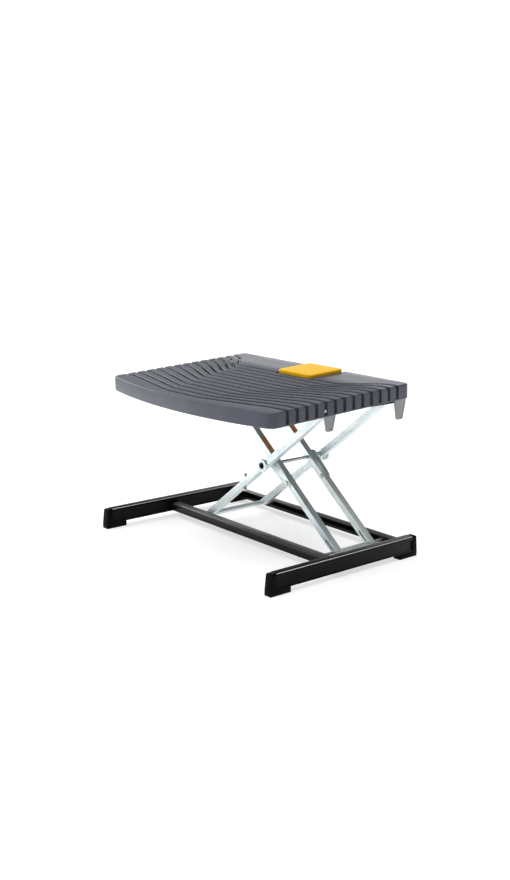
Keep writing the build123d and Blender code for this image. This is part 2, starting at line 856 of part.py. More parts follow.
def footplate():
    """The moulded plate: a deck with grooves, side walls, a pedal well and tilt pin holes."""
    plate = extrude(plate_outline(0), -plate_skirt)
    plate = fillet(plate.edges().group_by(Axis.Z)[-1], plate_edge)
    hollow = Pos(0, 0, deck_floor) * extrude(plate_outline(skirt_wall), -plate_skirt)
    cuts = [hollow]
    for number in range(groove_count):
        strip = Pos(0, 0, -groove_depth) * groove_outline(number)
        cuts.append(extrude(strip, groove_depth + overrun))
        middle = groove_side_start + number * groove_side_pitch
        for end in (-1, 1):
            inner = end * (plate_half - side_slot_depth)
            outer = end * (plate_half + overrun)
            cuts.append(box(*sorted((inner, outer)), middle - groove_width / 2,
                            middle + groove_width / 2, side_slot_foot - plate_skirt, overrun))
    cuts.append(box(pedal_left - well_gap, pedal_right + well_gap, pedal_front - well_gap,
                    plate_rear + overrun, -well_depth, overrun))
    cuts.append(box(*lug_hole_x(), *lug_hole_s(), deck_floor - overrun, -well_depth + overrun))
    cuts.append(bar_x(pedal_axis, -pedal_axis_depth, pedal_left - pedal_pin_overreach,
                      pedal_right + pedal_pin_overreach, pedal_pin_radius + seat_gap))
    for end in (-1, 1):
        cuts.append(bar_x(tilt_set_back, -tilt_depth, end * (plate_half - skirt_wall - overrun),
                          end * (plate_half + overrun), tilt_pin_radius + running_gap))
        cuts.append(bar_x(tilt_set_back, -tilt_depth, end * (plate_half - side_slot_depth),
                          end * (plate_half + overrun), tilt_head_radius + slide_gap))
    return plate_place * (plate - cuts)


def lug_x():
    """The pedal lug's two sides."""
    start = pedal_offset + lug_offset - lug_width / 2
    return start, start + lug_width


def lug_s():
    """The pedal lug's front and rear, measured along the plate."""
    start = (middle_y + cylinder_radius + lug_behind_cylinder - plate_front) / cos(tilt)
    return start, start + lug_depth


def lug_hole_x():
    """The hole for the lug, side to side."""
    start, end = lug_x()
    return start - lug_gap, end + lug_gap


def lug_hole_s():
    """The hole for the lug, front to rear."""
    start, end = lug_s()
    return start - lug_gap, end + lug_gap + overrun


def lug_foot():
    """How far the lug reaches down, square to the plate, to stop just above the lever's foot."""
    middle = sum(lug_s()) / 2
    rise = lever_top + slide_gap - plate_height - middle * sin(tilt)
    return rise / cos(tilt)


def pedal():
    """A moulded pedal: a hollow cap with a hinge barrel at the rear and a long lug."""
    face = Pos(pedal_offset, pedal_front + pedal_depth / 2) * RectangleRounded(
        pedal_width, pedal_depth, pedal_corner)
    cap = Pos(0, 0, -pedal_sink) * extrude(face, pedal_rise + pedal_sink)
    cap = fillet(cap.edges().group_by(Axis.Z)[-1], pedal_edge)
    inner = Pos(pedal_offset, pedal_front + pedal_depth / 2) * RectangleRounded(
        pedal_width - 2 * pedal_wall, pedal_depth - 2 * pedal_wall, pedal_corner - pedal_wall)
    cap -= Pos(0, 0, -pedal_sink - overrun) * extrude(inner, pedal_rise + pedal_sink + overrun - pedal_wall)
    cap += bar_x(pedal_axis, -pedal_axis_depth, pedal_left + pedal_corner, pedal_right - pedal_corner,
                 pedal_barrel_radius)
    cap += box(pedal_left + pedal_corner, pedal_right - pedal_corner,
               pedal_axis - pedal_barrel_radius, pedal_axis + pedal_barrel_radius,
               -pedal_axis_depth, pedal_rise - pedal_wall)
    start, end = lug_s()
    cap += box(*lug_x(), start, end, lug_foot(), pedal_rise - pedal_wall)
    cap -= bar_x(pedal_axis, -pedal_axis_depth, pedal_left - overrun, pedal_right + overrun,
                 pedal_pin_radius + running_gap)
    return plate_place * cap


def pedal_pin():
    """The pedal's hinge pin, held in the walls of the well."""
    return plate_place * bar_x(pedal_axis, -pedal_axis_depth, pedal_left - pedal_pin_overreach,
                               pedal_right + pedal_pin_overreach, pedal_pin_radius)


def pedal_spring():
    """A leaf spring in the well that lifts the pedal."""
    base = pedal_front + spring_set_back
    bend = base - spring_foot
    tip = bend - spring_reach
    floor = -well_depth
    roof = pedal_rise - pedal_wall - slide_gap
    shape = outline_of(
        (base, floor),
        (base, floor + spring_strip),
        (bend, floor + spring_strip),
        (tip, roof),
        (tip, roof - spring_strip),
        (bend, floor),
    )
    left = pedal_offset - spring_width / 2
    return plate_place * prism_x(shape, left, left + spring_width)


def group(solids):
    """Like pieces that share one node, kept as separate solids."""
    return Compound(children=[solid.solid() for solid in solids])


def all_nodes():
    """Every node of the part, by name."""
    nodes = {"foot_soles": group(foot_soles())}
    for side, hand in ((-1, "left"), (1, "right")):
        nodes["foot_beam_" + hand] = foot_beam(side)
        nodes["tilt_bracket_" + hand] = tilt_bracket(side)
        for end, place in ((-1, "front"), (1, "rear")):
            nodes["foot_cap_" + place + "_" + hand] = foot_cap(side, end)
            nodes["end_tab_" + place + "_" + hand] = end_tab(end, side)
    for side, place in ((-1, "front"), (1, "rear")):
        nodes["lower_rail_" + place] = lower_rail(side)
        nodes["inner_arm_" + place] = inner_arm(side)
        nodes["outer_arm_" + place] = outer_arm(side)
        nodes["hub_" + place] = hub(side)
        nodes["upper_rail_" + place] = upper_rail(side)
    nodes["rod_anchors"] = group([rod_anchor(side) for side in (-1, 1)])
    nodes["pivot_plates"] = group([pivot_plate(side) for side in (-1, 1)])
    nodes["lower_pivot_rod"] = lower_pivot_rod()
    nodes["inner_lower_tube"] = inner_lower_tube()
    nodes["plate_bolts"] = group(plate_bolts())
    nodes["scissor_axle"] = scissor_axle()
    nodes["axle_spacers"] = group(axle_spacers())
    nodes["outer_cross_tube"] = outer_cross_tube()
    nodes["slide_pins"] = group(slide_pins())
    nodes["hub_caps"] = group(hub_caps())
    nodes["stop_screw"] = stop_screw()
    nodes["stop_nut"] = stop_nut()
    nodes["lower_slide_blocks"] = group(slide_blocks(pivot_height, slot_height, stub_radius + running_gap))
    nodes["upper_slide_blocks"] = group(slide_blocks(upper_z, upper_slot, axle_radius + seat_gap))
    nodes["upper_anchors"] = group(upper_anchors())
    nodes["upper_pins"] = group(upper_pins())
    nodes["crossbar"] = crossbar()
    nodes["bridge_bar"] = bridge_bar()
    nodes["tilt_pins"] = group(tilt_pins())
    nodes["gas_cylinder"] = gas_cylinder()
    nodes["gas_gland"] = gas_gland()
    nodes["valve_block"] = valve_block()
    nodes["spring_clevis"] = spring_clevis()
    nodes["clevis_pin"] = clevis_pin()
    nodes["lever_clamp"] = lever_clamp()
    nodes["lever_pin"] = lever_pin()
    nodes["release_lever"] = release_lever()
    nodes["valve_button"] = valve_button()
    nodes["carriage_axle"] = carriage_axle()
    nodes["rod_eye"] = rod_eye()
    nodes["gas_rod"] = gas_rod()
    nodes["gas_piston"] = gas_piston()
    nodes["footplate"] = footplate()
    nodes["pedal"] = pedal()
    nodes["pedal_pin"] = pedal_pin()
    nodes["pedal_spring"] = pedal_spring()
    return nodes


os.makedirs("parts", exist_ok=True)
for name, shape in all_nodes().items():
    export_step(shape, "parts/" + name + ".step")
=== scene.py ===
import json
from math import asin, atan2, cos, hypot, pi, radians, sin, sqrt

import bmesh
import bpy
from mathutils import Matrix, Vector


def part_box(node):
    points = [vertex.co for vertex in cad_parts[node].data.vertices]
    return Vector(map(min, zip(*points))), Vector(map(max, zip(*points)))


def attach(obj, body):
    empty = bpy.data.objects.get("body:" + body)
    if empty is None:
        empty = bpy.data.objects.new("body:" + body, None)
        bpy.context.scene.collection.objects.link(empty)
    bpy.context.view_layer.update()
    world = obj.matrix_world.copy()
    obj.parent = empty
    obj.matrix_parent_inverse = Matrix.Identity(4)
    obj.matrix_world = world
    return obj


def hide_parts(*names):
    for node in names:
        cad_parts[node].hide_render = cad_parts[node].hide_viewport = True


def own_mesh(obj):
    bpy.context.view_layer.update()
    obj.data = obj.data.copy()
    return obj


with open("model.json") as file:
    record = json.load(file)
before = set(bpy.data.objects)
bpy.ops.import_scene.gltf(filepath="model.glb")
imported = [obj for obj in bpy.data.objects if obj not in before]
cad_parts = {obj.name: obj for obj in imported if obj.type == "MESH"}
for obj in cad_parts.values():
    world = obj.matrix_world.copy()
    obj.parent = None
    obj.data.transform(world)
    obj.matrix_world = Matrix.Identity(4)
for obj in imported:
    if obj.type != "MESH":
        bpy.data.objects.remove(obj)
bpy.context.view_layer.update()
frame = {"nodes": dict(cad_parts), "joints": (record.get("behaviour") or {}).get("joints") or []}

# The studio
# A pale floor that runs back out of sight, a surround that is white along the horizon, dark
# overhead at the rear and dim at the front right, a soft light overhead, one close by on the
# left, and one that brightens the floor in front.
floor_half = 60.0
floor_grain = 3.0
floor_glow = 0.58
paper_dark = (0.54, 0.54, 0.543)
paper_light = (0.57, 0.57, 0.573)
horizon_white = 1.15
ceiling_rear = 0.13
ceiling_front = 1.25
white_up_to = 0.17
grey_from = 0.45
rear_from, rear_to = -0.35, 0.25
dim_side = (0.80, -0.60, 0.0)
dim_from, dim_to = 0.1, 0.6
dim_share = 0.12
lamp_aim = Vector((0.0, 0.0, 0.2))
# Each lamp's name, kind, place, target, power, width or angle, and beam
lamps = (
    ("key_lamp", "AREA", Vector((-1.75, -0.10, 1.0)), lamp_aim, 13.0, 0.8, pi),
    ("top_lamp", "SUN", Vector((0.0, -0.45, 4.0)), lamp_aim, 2.3, 1.2, pi),
    ("pool_lamp", "AREA", Vector((-1.1, -0.95, 1.3)), Vector((-1.1, -0.96, 0.0)), 17.0, 1.0, 0.9),
)
camera_place = Vector((1.62555, -1.39325, 0.6835))
camera_turn = 0.8606
camera_dip = 0.22
camera_roll = 0.0148
camera_lens = 46.617
film_width = 36.0


def plug(socket, value):
    """Links a wire to a socket, or sets a constant on it."""
    if isinstance(value, Wire):
        value.tree.links.new(value.socket, socket)
    else:
        socket.default_value = value


class Wire:
    """One output of a shader node, used in ordinary arithmetic."""

    def __init__(self, tree, socket):
        self.tree = tree
        self.socket = socket

    def node(self, kind, settings, sockets, output=0):
        """Adds a node: its settings first, then the values or wires of its sockets."""
        made = self.tree.nodes.new(kind)
        for name, value in settings.items():
            setattr(made, name, value)
        for name, value in sockets.items():
            plug(next(s for s in made.inputs if name in (s.identifier, s.name)), value)
        return Wire(self.tree, made.outputs[output])

    def math(self, operation, first, second):
        """One Math node of two wires or numbers."""
        return self.node("ShaderNodeMath", {"operation": operation}, {"Value": first, "Value_001": second})

    def __add__(self, other):
        return self.math("ADD", self, other)

    def __radd__(self, other):
        return self.math("ADD", other, self)

    def __sub__(self, other):
        return self.math("SUBTRACT", self, other)

    def __rsub__(self, other):
        return self.math("SUBTRACT", other, self)

    def __mul__(self, other):
        return self.math("MULTIPLY", self, other)

    def __rmul__(self, other):
        return self.math("MULTIPLY", other, self)

    def along(self, axis):
        """One coordinate of this wire: 0, 1 or 2 for X, Y or Z."""
        return self.node("ShaderNodeSeparateXYZ", {}, {"Vector": self}, axis)

    def toward(self, direction):
        """How far this wire reaches along a direction of length 1."""
        return self.node("ShaderNodeVectorMath", {"operation": "DOT_PRODUCT"},
                         {"Vector": self, "Vector_001": direction}, 1)

    def mark(self, name):
        """A number that the mesh itself carries at each of its points."""
        return self.node("ShaderNodeAttribute", {"attribute_name": name}, {}, 2)

    def noise(self, scale, detail=3.0, stretch=(1.0, 1.0, 1.0)):
        """Even noise about 0.5, in features of 1 / scale metres, drawn out along an axis."""
        turned = self.node("ShaderNodeMapping", {}, {"Vector": self, "Scale": stretch})
        return self.node("ShaderNodeTexNoise", {}, {"Vector": turned, "Scale": scale, "Detail": detail})

    def between(self, low, high):
        """This wire as 0 up to low and 1 from high, smooth between. It turns round where low is
        the larger."""
        return self.node("ShaderNodeMapRange", {"interpolation_type": "SMOOTHSTEP"},
                         {"Value": self, "From Min": low, "From Max": high})

    def tint(self, first, second):
        """A mix from the first colour to the second by this wire."""
        sockets = {"Factor_Float": self}
        for name, colour in (("A_Color", first), ("B_Color", second)):
            sockets[name] = colour if isinstance(colour, Wire) else (*colour, 1.0)
        return self.node("ShaderNodeMix", {"data_type": "RGBA"}, sockets, 2)


def new_finish(name):
    """An empty material: itself, its shader node and its object coordinates."""
    material = bpy.data.materials.new(name)
    material.use_nodes = True
    tree = material.node_tree
    shader = tree.nodes["Principled BSDF"]
    coordinates = tree.nodes.new("ShaderNodeTexCoord")
    return material, shader, Wire(tree, coordinates.outputs["Object"])


def feed(shader, **inputs):
    """Sets constants on the shader's own sockets, and links wires to them."""
    for name, value in inputs.items():
        plug(shader.inputs[name.replace("_", " ")], value)


def bumps(height, distance, strength=1.0):
    """A Bump node over a height wire, in metres."""
    return height.node("ShaderNodeBump", {},
                       {"Height": height, "Distance": distance, "Strength": strength})


def paper_floor():
    """Matt white sheet with a faint grain, lit a little from below like a light table."""
    material, shader, place = new_finish("studio_paper")
    feed(shader, Base_Color=place.noise(floor_grain).tint(paper_dark, paper_light), Roughness=0.9,
         Specular_IOR_Level=0.1, Emission_Color=(1.0, 1.0, 1.0, 1.0), Emission_Strength=floor_glow)
    return material


def into_mesh(name, work):
    """A mesh from a finished bmesh, which is freed."""
    mesh = bpy.data.meshes.new(name)
    work.to_mesh(mesh)
    work.free()
    return mesh


def into_scene(name, data):
    """A new object in the scene that shows a mesh, a lamp or a camera."""
    thing = bpy.data.objects.new(name, data)
    bpy.context.collection.objects.link(thing)
    return thing


def add_lamp(name, kind, place, target, power, spread, beam):
    """A lamp that faces its target: a square of a width and a beam, or a far one of an angle."""
    data = bpy.data.lights.new(name, kind)
    data.energy = power
    if kind == "AREA":
        data.size = spread
        data.spread = beam
    else:
        data.angle = spread
    lamp = into_scene(name, data)
    lamp.location = place
    lamp.rotation_euler = (target - place).to_track_quat("-Z", "Y").to_euler()


def surround():
    """The studio round the floor, by direction: white low down and overhead in front, grey
    overhead at the rear, and dim at the front right. The camera itself sees only white."""
    world = bpy.data.worlds.new("surround")
    world.use_nodes = True
    tree = world.node_tree
    coordinates = Wire(tree, tree.nodes.new("ShaderNodeTexCoord").outputs["Generated"])
    rear = coordinates.along(1).between(rear_from, rear_to)
    ceiling = ceiling_front - rear * (ceiling_front - ceiling_rear)
    overhead = coordinates.along(2).between(white_up_to, grey_from)
    level = horizon_white + overhead * (ceiling - horizon_white)
    level = level * (1.0 - coordinates.toward(dim_side).between(dim_from, dim_to) * (1.0 - dim_share))
    seen = coordinates.node("ShaderNodeLightPath", {}, {})
    level = level + seen * (horizon_white - level)
    feed(tree.nodes["Background"], Color=(1.0, 1.0, 1.0, 1.0), Strength=level)
    bpy.context.scene.world = world


def add_camera():
    """The camera at the photograph's place: turned about Z, dipped, then rolled a little."""
    data = bpy.data.cameras.new("camera")
    data.sensor_width = film_width
    data.lens = camera_lens
    camera = into_scene("camera", data)
    turned = Matrix.Translation(camera_place) @ Matrix.Rotation(camera_turn, 4, "Z")
    dipped = turned @ Matrix.Rotation(pi / 2 - camera_dip, 4, "X")
    camera.matrix_world = dipped @ Matrix.Rotation(camera_roll, 4, "Z")
    bpy.context.scene.camera = camera


ground = bmesh.new()
bmesh.ops.create_grid(ground, x_segments=1, y_segments=1, size=floor_half)
floor = into_scene("floor", into_mesh("floor", ground))
floor.data.materials.append(paper_floor())
surround()
bpy.context.scene.view_settings.view_transform = "Standard"
for lamp in lamps:
    add_lamp(*lamp)
add_camera()

# Foot beams
# Two folded steel box sections that stand the footrest on the floor, with a shallow recess
# along each face and a rounded head, in black powder coat.
beam_edge = 0.0016
beam_small_edge = 0.0004
beam_panel_depth = 0.0012
beam_panel_low = 0.002
beam_panel_high = 0.0225
coat_black = (0.0035, 0.0035, 0.0040)
coat_dust = (0.014, 0.014, 0.015)
coat_painted_highlight = (0.78, 0.78, 0.80)
coat_peel_scale, coat_peel_depth = 700.0, 0.00012
coat_dust_scale = 26.0
sharp_turn = 0.6
thinnest = 0.000002


def powder_coat():
    """Black powder coat: orange peel, a little dust, and a pale painted highlight where the mesh marks it.
    """
    material, shader, place = new_finish("black_powder_coat")
    paler_share = place.noise(coat_dust_scale, 6.0).between(0.55, 0.80)
    colour = (paler_share * 0.5).tint(coat_black, coat_dust)
    # Painted highlight: a pale line where the mesh marks the top edges
    colour = (place.mark("painted_highlight") * 0.9).tint(colour, coat_painted_highlight)
    feed(shader, Base_Color=colour, Roughness=0.34 + paler_share * 0.25, Specular_IOR_Level=0.08,
         Normal=bumps(place.noise(coat_peel_scale, 2.0), coat_peel_depth, 0.6))
    return material, "black_coat"


def place_piece(name, work, finish, body, *nodes):
    """Turns a finished bmesh into a piece that rides on its body and stands for CAD nodes. The finish is a
    material and its slot; the slot is not used."""
    material, slot = finish
    bmesh.ops.dissolve_degenerate(work, dist=thinnest, edges=work.edges)
    piece = into_scene(name, into_mesh(name, work))
    piece.data.materials.append(material)
    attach(piece, body)
    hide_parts(*nodes)
    return piece


def shade(work, limit=sharp_turn):
    """Smooth faces, with sharp edges where two faces turn by more than the limit, in radians."""
    for face in work.faces:
        face.smooth = True
    for edge in work.edges:
        edge.smooth = len(edge.link_faces) == 2 and edge.calc_face_angle(0.0) < limit


def bevel_edges(work, edges, width, steps=3):
    """Rounds a set of edges."""
    bmesh.ops.bevel(work, geom=list(edges), offset=width, offset_type="OFFSET", segments=steps,
                    profile=0.5, affect="EDGES", material=-1, clamp_overlap=True)


def sharp_edges(work, limit=sharp_turn):
    """The edges whose faces turn by more than the limit."""
    work.normal_update()
    return [e for e in work.edges if len(e.link_faces) == 2 and e.calc_face_angle(0.0) > limit]


black_coat = powder_coat()
for hand in ("left", "right"):
    low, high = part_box("foot_beam_" + hand)
    panel_low, panel_high = low.z + beam_panel_low, low.z + beam_panel_high
    right_side = [(0.0, low.z), (0.0, panel_low), (beam_panel_depth, panel_low + beam_panel_depth),
                  (beam_panel_depth, panel_high - beam_panel_depth), (0.0, panel_high), (0.0, high.z)]
    outline = [(high.x - sunk, z) for sunk, z in right_side]
    outline += [(low.x + sunk, z) for sunk, z in reversed(right_side)]
    beam = bmesh.new()
    painted_highlight = beam.verts.layers.float.new("painted_highlight")
    face = beam.faces.new([beam.verts.new((x, low.y, z)) for x, z in outline])
    grown = bmesh.ops.extrude_face_region(beam, geom=[face])["geom"]
    tips = [item for item in grown if isinstance(item, bmesh.types.BMVert)]
    bmesh.ops.translate(beam, verts=tips, vec=(0.0, high.y - low.y, 0.0))
    bmesh.ops.recalc_face_normals(beam, faces=beam.faces)
    crest = [e for e in beam.edges if all(v.co.z > high.z - beam_small_edge for v in e.verts)
             and abs(e.verts[0].co.y - e.verts[1].co.y) > beam_edge]
    bevel_edges(beam, crest, beam_edge, 2)
    # A band just under each top edge is marked for a painted highlight line
    for vert in beam.verts:
        vert[painted_highlight] = float(high.z - beam_edge * 0.9 < vert.co.z < high.z - beam_edge * 0.1)
    bevel_edges(beam, sharp_edges(beam, limit=0.5), beam_small_edge, 2)
    shade(beam)
    place_piece("foot_beam_shell_" + hand, beam, black_coat, "base", "foot_beam_" + hand)

# Foot caps and soles
# Moulded black plastic caps close the beams' ends and carry the pads, each on a thin rubber
# sole. Their edges are rounded as a mould leaves them.
cap_edge = 0.0009
sole_edge = 0.0004
soft_edge = 0.0005
cap_tint = (0.0022, 0.0022, 0.0025)
cap_rub = (0.00612, 0.00612, 0.0067)
sole_tint = (0.020, 0.020, 0.020)
sole_dirt = (0.075, 0.070, 0.062)
merge_distance = 0.000002
flat_turn = 0.01


def worn_finish(name, slot, patches, colours, roughness, grain, **more):
    """A finish and its slot. Patches, as noise scale and detail and where they start and end,
    lead from one colour to another and add to the roughness. The grain is a noise scale and
    detail, a depth in metres and a strength."""
    material, shader, place = new_finish(name)
    scale, detail, *ends = patches
    worn = place.noise(scale, detail)
    if ends:
        worn = worn.between(*ends)
    least, added = roughness
    grain_scale, grain_detail, depth, strength = grain
    feed(shader, Base_Color=worn.tint(*colours), Roughness=least + worn * added if added else least,
         Normal=bumps(place.noise(grain_scale, grain_detail), depth, strength), **more)
    return material, slot


def merged(node):
    """A copy of a CAD node with its triangles merged and its flat faces joined."""
    copy = bmesh.new()
    copy.from_mesh(frame["nodes"][node].data)
    bmesh.ops.remove_doubles(copy, verts=copy.verts, dist=merge_distance)
    bmesh.ops.dissolve_limit(copy, angle_limit=flat_turn, verts=copy.verts, edges=copy.edges)
    return copy


def softened(node, width, steps=2):
    """A merged copy of a CAD node with its sharp edges rounded."""
    copy = merged(node)
    bevel_edges(copy, sharp_edges(copy), width, steps)
    shade(copy)
    return copy


def place_softened(name, node, finish, body, width=soft_edge, steps=2):
    """A piece that is a CAD node's own shape with its sharp edges rounded."""
    return place_piece(name, softened(node, width, steps), finish, body, node)


black_plastic = worn_finish("black_moulded_plastic", "black_plastic", patches=(34.0, 8.0, 0.58, 0.75),
                            colours=(cap_tint, cap_rub), roughness=(0.42, 0.2),
                            grain=(1300.0, 2.0, 0.00008, 0.7), Specular_IOR_Level=0.04)
rubber = worn_finish("sole_rubber", "rubber", patches=(60.0, 7.0, 0.45, 0.75),
                     colours=(sole_tint, sole_dirt), roughness=(0.82, 0.0),
                     grain=(900.0, 3.0, 0.0001, 0.8))
for end in ("front", "rear"):
    for hand in ("left", "right"):
        node = "foot_cap_" + end + "_" + hand
        place_softened(node.replace("cap", "cap_moulding"), node, black_plastic, "base", cap_edge, 3)
place_softened("sole_pads", "foot_soles", rubber, "base", sole_edge)

# Lower rails
# Two extruded cross rails between the feet, in satin black. The outer edges are rounded, a
# line runs along the outer face, and a slot faces the middle, where a block slides.
rail_edge = 0.0004
rail_foot_round = 0.003
rail_black = (0.004, 0.004, 0.0045)
rail_dull = (0.012, 0.012, 0.013)
rail_painted_sheen = (0.105, 0.105, 0.108)
rail_sheen_from, rail_sheen_to = 0.0210, 0.0290
rail_dull_scale, rail_sheen_scale = 30.0, 9.0
rail_grain_scale, rail_grain_depth = 800.0, 0.00006


def satin_black():
    """Satin black paint, paler towards its rounded top: a painted sheen whose strength varies in patches."""
    material, shader, place = new_finish("satin_black_paint")
    dull = place.noise(rail_dull_scale, 6.0).between(0.50, 0.80)
    sheen_strength = 0.5 + place.noise(rail_sheen_scale) * 0.6
    # Painted sheen: the colour turns paler up the side and over the rounded top
    paler_share = place.along(2).between(rail_sheen_from, rail_sheen_to) * sheen_strength
    colour = paler_share.tint((dull * 0.6).tint(rail_black, rail_dull), rail_painted_sheen)
    feed(shader, Base_Color=colour, Roughness=0.30 + dull * 0.16, Specular_IOR_Level=0.14,
         Normal=bumps(place.noise(rail_grain_scale, 2.0), rail_grain_depth, 0.5))
    return material, "black_coat"


satin = satin_black()
for end, side in (("front", -1), ("rear", 1)):
    node = "lower_rail_" + end
    low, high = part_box(node)
    outer_y = low.y if side < 0 else high.y
    rail = merged(node)
    foot = [e for e in rail.edges
            if all(abs(v.co.y - outer_y) < rail_edge and v.co.z < low.z + rail_edge for v in e.verts)]
    bevel_edges(rail, foot, rail_foot_round, 5)
    bevel_edges(rail, sharp_edges(rail), rail_edge, 2)
    shade(rail)
    place_piece("lower_rail_bar_" + end, rail, satin, "base", node)

# Lower pivot rod, its anchors and the tube round it
# A bright steel rod is held in two steel blocks in the rails, and the inner arms turn on it
# with the zinc-plated tube that joins them.
lower_tube_radius = 0.0045
lower_tube_sides = 48
steel_tint = (0.56, 0.57, 0.58)
steel_smear = (0.44, 0.45, 0.46)
zinc_pale = (0.80, 0.87, 0.86)
zinc_dull = (0.62, 0.70, 0.71)
zinc_blue = (0.48, 0.60, 0.66)
zinc_warm = (0.68, 0.66, 0.55)
copper_tint = (0.70, 0.30, 0.10)
zinc_metal = 0.70
zinc_spangle_scale = 130.0
zinc_streak_scale = 240.0
zinc_streak_shape = (0.06, 1.0, 1.0)
zinc_cloud_scale = 14.0
zinc_blue_share, zinc_warm_share = 0.4, 0.35
zinc_grain_depth = 0.00006
stain_ragged = 0.006
stain_fade = 0.002
stain_face_from, stain_face_to = 0.0006, 0.0001
stain_metal_lost = 0.62


def zinc_finish(name, slope=0.0, middle=(0.0, 0.0, 0.0), stained=None):
    """Zinc plate: pale grey, streaked along the tube, faintly blue and yellow in places.
    Where it is stained, the upper face has gone copper brown: how far from the middle that
    starts and ends, and how high the face lies."""
    material, shader, place = new_finish(name)
    cloud = place.noise(zinc_cloud_scale, 5.0)
    turned = place.node("ShaderNodeMapping", {"vector_type": "POINT"},
                        {"Vector": place, "Rotation": (0.0, slope, 0.0)})
    streak = turned.noise(zinc_streak_scale, 4.0, zinc_streak_shape)
    spangle = place.node("ShaderNodeTexVoronoi", {}, {"Vector": place, "Scale": zinc_spangle_scale}, 1)
    colour = streak.between(0.35, 0.70).tint(zinc_pale, zinc_dull)
    colour = (cloud.between(0.55, 0.75) * zinc_blue_share).tint(colour, zinc_blue)
    colour = (cloud.between(0.45, 0.28) * zinc_warm_share).tint(colour, zinc_warm)
    plated = zinc_metal
    if stained:
        start, end, face = stained
        centred = place.node("ShaderNodeVectorMath", {"operation": "SUBTRACT"},
                             {"Vector": place, "Vector_001": middle})
        run = centred.toward((-cos(slope), 0.0, -sin(slope)))
        rise = centred.toward((-sin(slope), 0.0, cos(slope)))
        ragged = run + (streak - 0.5) * stain_ragged
        stain = ragged.between(start - stain_fade, start + stain_fade)
        stain = stain * (1.0 - ragged.between(end - stain_fade, end + stain_fade))
        stain = stain * rise.between(face - stain_face_from, face - stain_face_to) * (0.70 + cloud * 0.45)
        colour = stain.tint(colour, copper_tint)
        plated = zinc_metal - stain * stain_metal_lost
    grey = spangle.node("ShaderNodeRGBToBW", {}, {"Color": spangle})
    feed(shader, Base_Color=colour, Metallic=plated, Roughness=0.34 + streak * 0.16 + grey * 0.06,
         Normal=bumps(streak, zinc_grain_depth, 0.5))
    return material, "zinc_steel"


def add_bar(work, radius, length, matrix, sides=32):
    """Adds a closed bar of many sides, along Z about the origin, and places it."""
    return bmesh.ops.create_cone(work, cap_ends=True, segments=sides, radius1=radius, radius2=radius,
                                 depth=length, matrix=matrix)["verts"]


bright_steel = worn_finish("bright_steel", "bright_steel", patches=(40.0, 4.0),
                           colours=(steel_tint, steel_smear), roughness=(0.20, 0.16),
                           grain=(2600.0, 2.0, 0.00002, 0.5), Metallic=1.0)
flat_zinc = zinc_finish("zinc_plate")
place_softened("pivot_rod_turned", "lower_pivot_rod", bright_steel, "base")
place_softened("rod_anchor_blocks", "rod_anchors", black_coat, "base")
low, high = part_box("inner_lower_tube")
drawn_tube = bmesh.new()
place = Matrix.Translation((low + high) / 2) @ Matrix.Rotation(pi / 2, 4, "X")
add_bar(drawn_tube, lower_tube_radius, high.y - low.y, place, lower_tube_sides)
bevel_edges(drawn_tube, sharp_edges(drawn_tube), soft_edge, 2)
shade(drawn_tube)
place_piece("lower_tube_drawn", drawn_tube, flat_zinc, "inner_frame", "inner_lower_tube")

# Arms
# Four zinc-plated rectangular tubes with round closed ends. The inner pair runs from the
# lower right pivots up to the left, the outer pair from the lower left up to the right.
arm_edge = 0.0014
arm_slot_width = 0.0044
arm_slot_length = 0.025
arm_slot_start = 0.006
arm_slot_depth = 0.005
arm_slot_edge = 0.0004
arm_round_steps = 14
arm_turn = 0.9
arm_stains = {"inner_arm_front": (0.023, 0.061), "inner_arm_rear": (0.059, 0.095)}
pin_places = {joint["name"]: Vector(joint["pos_m"])
              for joint in frame["joints"] if joint["type"] == "hinge"}
arm_ends = {
    "inner": (pin_places["upper_slide_turn"], pin_places["height"]),
    "outer": (pin_places["lower_slide_turn"], pin_places["top_level"]),
}


def arm_frame(start, end, middle_y):
    """The matrix that carries a bar modelled along X to its place between two pins."""
    across = end - start
    slope = atan2(across.z, across.x)
    middle = (start + end) / 2
    return Matrix.Translation((middle.x, middle_y, middle.z)) @ Matrix.Rotation(-slope, 4, "Y")


def arm_bar(pitch, width, depth):
    """A bar along X with full round ends and small long edges."""
    bar = bmesh.new()
    bmesh.ops.create_cube(bar, size=1.0)
    bmesh.ops.scale(bar, vec=(pitch + depth, width, depth), verts=bar.verts)
    ends = [e for e in bar.edges if abs(e.verts[0].co.y - e.verts[1].co.y) > width / 2]
    bevel_edges(bar, ends, depth * 0.499, arm_round_steps)
    bevel_edges(bar, sharp_edges(bar, arm_turn), arm_edge, 4)
    return bar


def cut_slot(bar, x_end):
    """A long pocket in the front face of a bar: cut out, pushed in and softened at its foot."""
    x_start = x_end - arm_slot_length
    half_width = arm_slot_width / 2
    planes = [((x_start, 0, 0), (1, 0, 0)), ((x_end, 0, 0), (1, 0, 0)),
              ((0, 0, half_width), (0, 0, 1)), ((0, 0, -half_width), (0, 0, 1))]
    for point, normal in planes:
        faces = [f for f in bar.faces if f.normal.y < -0.99 and f.calc_area() > half_width ** 2]
        # A dict takes each edge once and keeps their order, where a set may not
        edges = dict.fromkeys(e for f in faces for e in f.edges)
        verts = dict.fromkeys(v for f in faces for v in f.verts)
        bmesh.ops.bisect_plane(bar, geom=[*faces, *edges, *verts], dist=merge_distance,
                               plane_co=point, plane_no=normal)
    middle_x = (x_start + x_end) / 2
    pocket = min((f for f in bar.faces if f.normal.y < -0.99),
                 key=lambda f: hypot(f.calc_center_median().x - middle_x, f.calc_center_median().z))
    foot = bmesh.ops.extrude_discrete_faces(bar, faces=[pocket])["faces"][0]
    bmesh.ops.translate(bar, verts=foot.verts, vec=(0, arm_slot_depth, 0))
    bevel_edges(bar, foot.edges, arm_slot_edge, 2)


